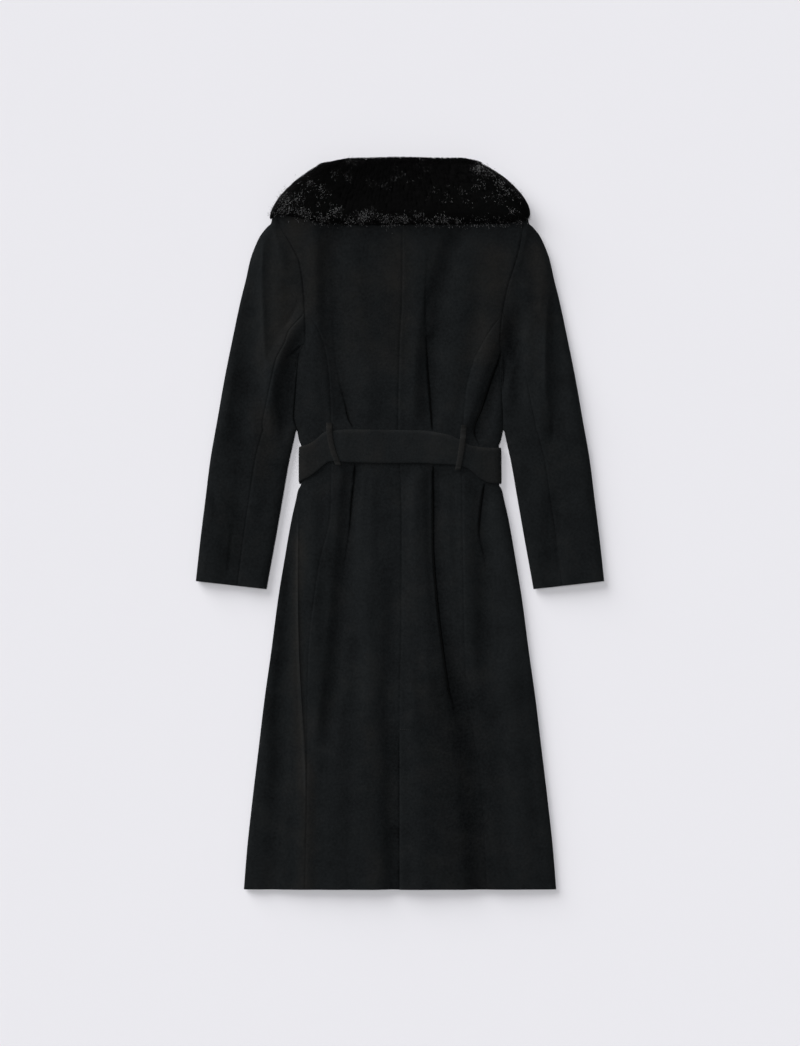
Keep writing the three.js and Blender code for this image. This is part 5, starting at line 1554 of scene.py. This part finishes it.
def cloth_material(name, dark, light, clump, bump):
    material, tree, shader = new_material(name)
    wool = tree.nodes.new("ShaderNodeGroup")
    wool.node_tree = felt
    wool.inputs["Dark"].default_value = (*dark, 1)
    wool.inputs["Light"].default_value = (*light, 1)
    wool.inputs["Clump size"].default_value = clump
    shading_and_warmth = add(tree, "ShaderNodeVertexColor", layer_name="shading_and_warmth")
    tree.links.new(shading_and_warmth.outputs["Color"], wool.inputs["Shading and warmth"])
    raised = add(tree, "ShaderNodeBump", Distance=0.0006, Strength=bump)
    tree.links.new(wool.outputs["Height"], raised.inputs["Height"])
    tree.links.new(wool.outputs["Color"], shader.inputs["Base Color"])
    tree.links.new(wool.outputs["Roughness"], shader.inputs["Roughness"])
    tree.links.new(raised.outputs["Normal"], shader.inputs["Normal"])
    shader.inputs["Specular IOR Level"].default_value = 0.05
    shader.inputs["Sheen Weight"].default_value = 0.018
    shader.inputs["Sheen Roughness"].default_value = 0.45
    return material


coat_darkest, coat_lightest = (0.0005, 0.0007, 0.0009), (0.0140, 0.0161, 0.0173)
belt_darkest, belt_lightest = (0.0025, 0.0030, 0.0033), (0.0152, 0.0172, 0.0183)
coat_cloth = cloth_material("felted_wool_black", coat_darkest, coat_lightest, 0.0042, 0.55)
belt_cloth = cloth_material("felted_wool_belt", belt_darkest, belt_lightest, 0.0038, 0.5)

# %% [markdown]
# ## Fur and thread
# Each hair carries its tone from root to tip in a colour attribute, the painted highlights on the pale
# tips included, so one material serves all of them. The pile beneath is the shadow between the hairs:
# almost black, with a fine grain.


# %% Fur materials
def hair_material(name):
    material, tree, shader = new_material(name)
    tone = add(tree, "ShaderNodeVertexColor", layer_name="hair_tone")
    grain = add(tree, "ShaderNodeTexNoise", Scale=420.0, Detail=2.0)
    where = add(tree, "ShaderNodeTexCoord")
    tree.links.new(where.outputs["Object"], grain.inputs["Vector"])
    gloss = add(tree, "ShaderNodeMapRange")
    gloss.inputs["To Min"].default_value = 0.5
    gloss.inputs["To Max"].default_value = 0.8
    tree.links.new(grain.outputs["Fac"], gloss.inputs["Value"])
    tree.links.new(tone.outputs["Color"], shader.inputs["Base Color"])
    tree.links.new(gloss.outputs["Result"], shader.inputs["Roughness"])
    shader.inputs["Specular IOR Level"].default_value = 0.035
    return material


def grained_material(name, dark, light, scale, roughness, bump):
    material, tree, shader = new_material(name)
    where = add(tree, "ShaderNodeTexCoord")
    grain = add(tree, "ShaderNodeTexNoise", Scale=scale, Detail=4.0, Roughness=0.7)
    tree.links.new(where.outputs["Object"], grain.inputs["Vector"])
    tones = add(tree, "ShaderNodeMix", data_type="RGBA")
    tones.inputs[COLOUR_A].default_value = (*dark, 1)
    tones.inputs[COLOUR_B].default_value = (*light, 1)
    tree.links.new(grain.outputs["Fac"], tones.inputs["Factor"])
    tree.links.new(tones.outputs[MIXED], shader.inputs["Base Color"])
    raised = add(tree, "ShaderNodeBump", Distance=0.001, Strength=bump)
    tree.links.new(grain.outputs["Fac"], raised.inputs["Height"])
    tree.links.new(raised.outputs["Normal"], shader.inputs["Normal"])
    shader.inputs["Roughness"].default_value = roughness
    shader.inputs["Specular IOR Level"].default_value = 0.08
    return material


hair = hair_material("fur_hair")
pile_black = grained_material(
    "fur_pile", (0.0004, 0.0004, 0.0005), (0.0011, 0.0011, 0.0012), scale=700, roughness=0.9, bump=0.6
)
thread_black = grained_material(
    "black_thread", (0.010, 0.010, 0.011), (0.030, 0.030, 0.031), scale=1800, roughness=0.6, bump=0.3
)

# %% [markdown]
# ## Which piece is which
# Each cloth piece stands for a part of the same name in the model that the coat is built on, and that
# part is hidden. Hair and stitches stand for none and only ride along. A slot names a piece's finish,
# so that a finish can be changed for all its pieces at once.

# %% Give each piece its finish and its place
pieces = {
    "centre_back_left": back_left, "centre_back_right": back_right, "side_back_left": side_left,
    "side_back_right": side_right, "front_left": front_left, "front_right": front_right,
    "collar_stand": stand, **sleeves,
}
for node, piece in pieces.items():
    piece.data.materials.append(coat_cloth)
for node, piece in {"belt": belt, "belt_loop_left": loop_left, "belt_loop_right": loop_right}.items():
    piece.data.materials.append(belt_cloth)
    pieces[node] = piece
for piece in [pile, guard_hair, *hair_meshes]:
    piece.data.materials.append(pile_black if piece is pile else hair)
vent_stitches.data.materials.append(thread_black)
pieces["fur_collar"] = pile
for node, piece in pieces.items():
    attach(piece, "root")
    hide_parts(node)
for piece in [guard_hair, *hair_meshes, vent_stitches]:
    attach(piece, "root")

# %% [markdown]
# ## What each sheet was cut from
# Each sheet is listed with the size of the flat piece it was cut to, and its cloth's area is printed
# beside the cut's: a piece that has grown far past its cut would be stretched.

# %% The cuts
cuts = {  # node: width and length of the cut in metres, and its area in square metres
    "centre_back_left": (0.235, 1.20, 0.185), "centre_back_right": (0.215, 1.20, 0.155),
    "side_back_left": (0.155, 1.00, 0.067), "side_back_right": (0.165, 0.99, 0.086),
    "front_left": (0.325, 1.19, 0.280), "front_right": (0.325, 1.19, 0.283),
    "top_sleeve_left": (0.215, 0.645, 0.109), "top_sleeve_right": (0.205, 0.645, 0.104),
    "under_sleeve_left": (0.085, 0.470, 0.0325), "under_sleeve_right": (0.085, 0.470, 0.0330),
    "collar_stand": (0.185, 0.045, 0.0070), "belt": (0.73, 0.057, 0.0410),
    "belt_loop_left": (0.011, 0.075, 0.00080), "belt_loop_right": (0.011, 0.080, 0.00085),
}


# %% Each sheet's area beside its cut's
def half_area(obj):
    """Half of a closed wall's surface: the area of the cloth itself."""
    return sum(polygon.area for polygon in obj.data.polygons) / 2


for node, (width, length, area) in cuts.items():
    measured = half_area(pieces[node])
    print(f"{node}: cloth {measured:.4f} m2, cut {area:.4f} m2, ratio {measured / area:.2f}")

# %% [markdown]
# ## Floor, light and camera
# The coat lies on a pale surface. One soft lamp hangs straight above it and casts almost no
# shadow. A second stands low to the upper left: it grazes the cloth, which is what models the
# folds, and lets a long soft shadow fall to the lower right. The camera looks straight down
# through a long lens.

# %% Floor
FAR, FLOOR_Z = 30, -0.0004  # metres; wide enough that no low view meets the floor's edge
floor_corners = [(x, y, FLOOR_Z) for x, y in ((-FAR, -FAR), (FAR, -FAR), (FAR, FAR), (-FAR, FAR))]
floor_mesh = bpy.data.meshes.new("floor")
floor_mesh.from_pydata(floor_corners, [], [(0, 1, 2, 3)])
floor = new_object("floor", floor_mesh)
pale_board = grained_material(
    "pale_board", (0.815, 0.808, 0.846), (0.825, 0.818, 0.856), scale=3, roughness=0.9, bump=0.0
)
floor.data.materials.append(pale_board)

# %% Light
world = bpy.data.worlds.new("studio")
bpy.context.scene.world = world
world.use_nodes = True
background = world.node_tree.nodes["Background"]
background.inputs["Color"].default_value = (0.98, 0.99, 1.0, 1)
background.inputs["Strength"].default_value = 0.16


def soft_sun(name, share, tilt, heading, softness):
    """A lamp far away. share is its part of the light on the floor, tilt its angle from straight up."""
    data = bpy.data.lights.new(name, "SUN")
    data.energy = math.pi * share / math.cos(math.radians(tilt))
    data.angle = math.radians(softness)
    lamp = new_object(name, data)
    lamp.rotation_euler = (math.radians(tilt), 0, math.radians(heading))
    print(name, "energy", round(data.energy, 2))


soft_sun("overhead_lamp", share=0.44, tilt=4, heading=225, softness=14)
soft_sun("side_lamp", share=0.41, tilt=66, heading=225, softness=48)

# %% Camera
LENS, SENSOR = 135.0, 36.0
SEEN_HEIGHT = 1.0460 * 1.7  # metres of table from the top of the view to its foot
camera_data = bpy.data.cameras.new("overhead")
camera_data.lens = LENS
camera_data.sensor_width = SENSOR
camera_data.sensor_fit = "AUTO"
camera = new_object("overhead", camera_data)
camera.location = (0.0, 0.0, SEEN_HEIGHT / SENSOR * LENS)
bpy.context.scene.camera = camera
bpy.context.scene.view_settings.view_transform = "Standard"
print("camera height", round(camera.location.z, 3), "m")
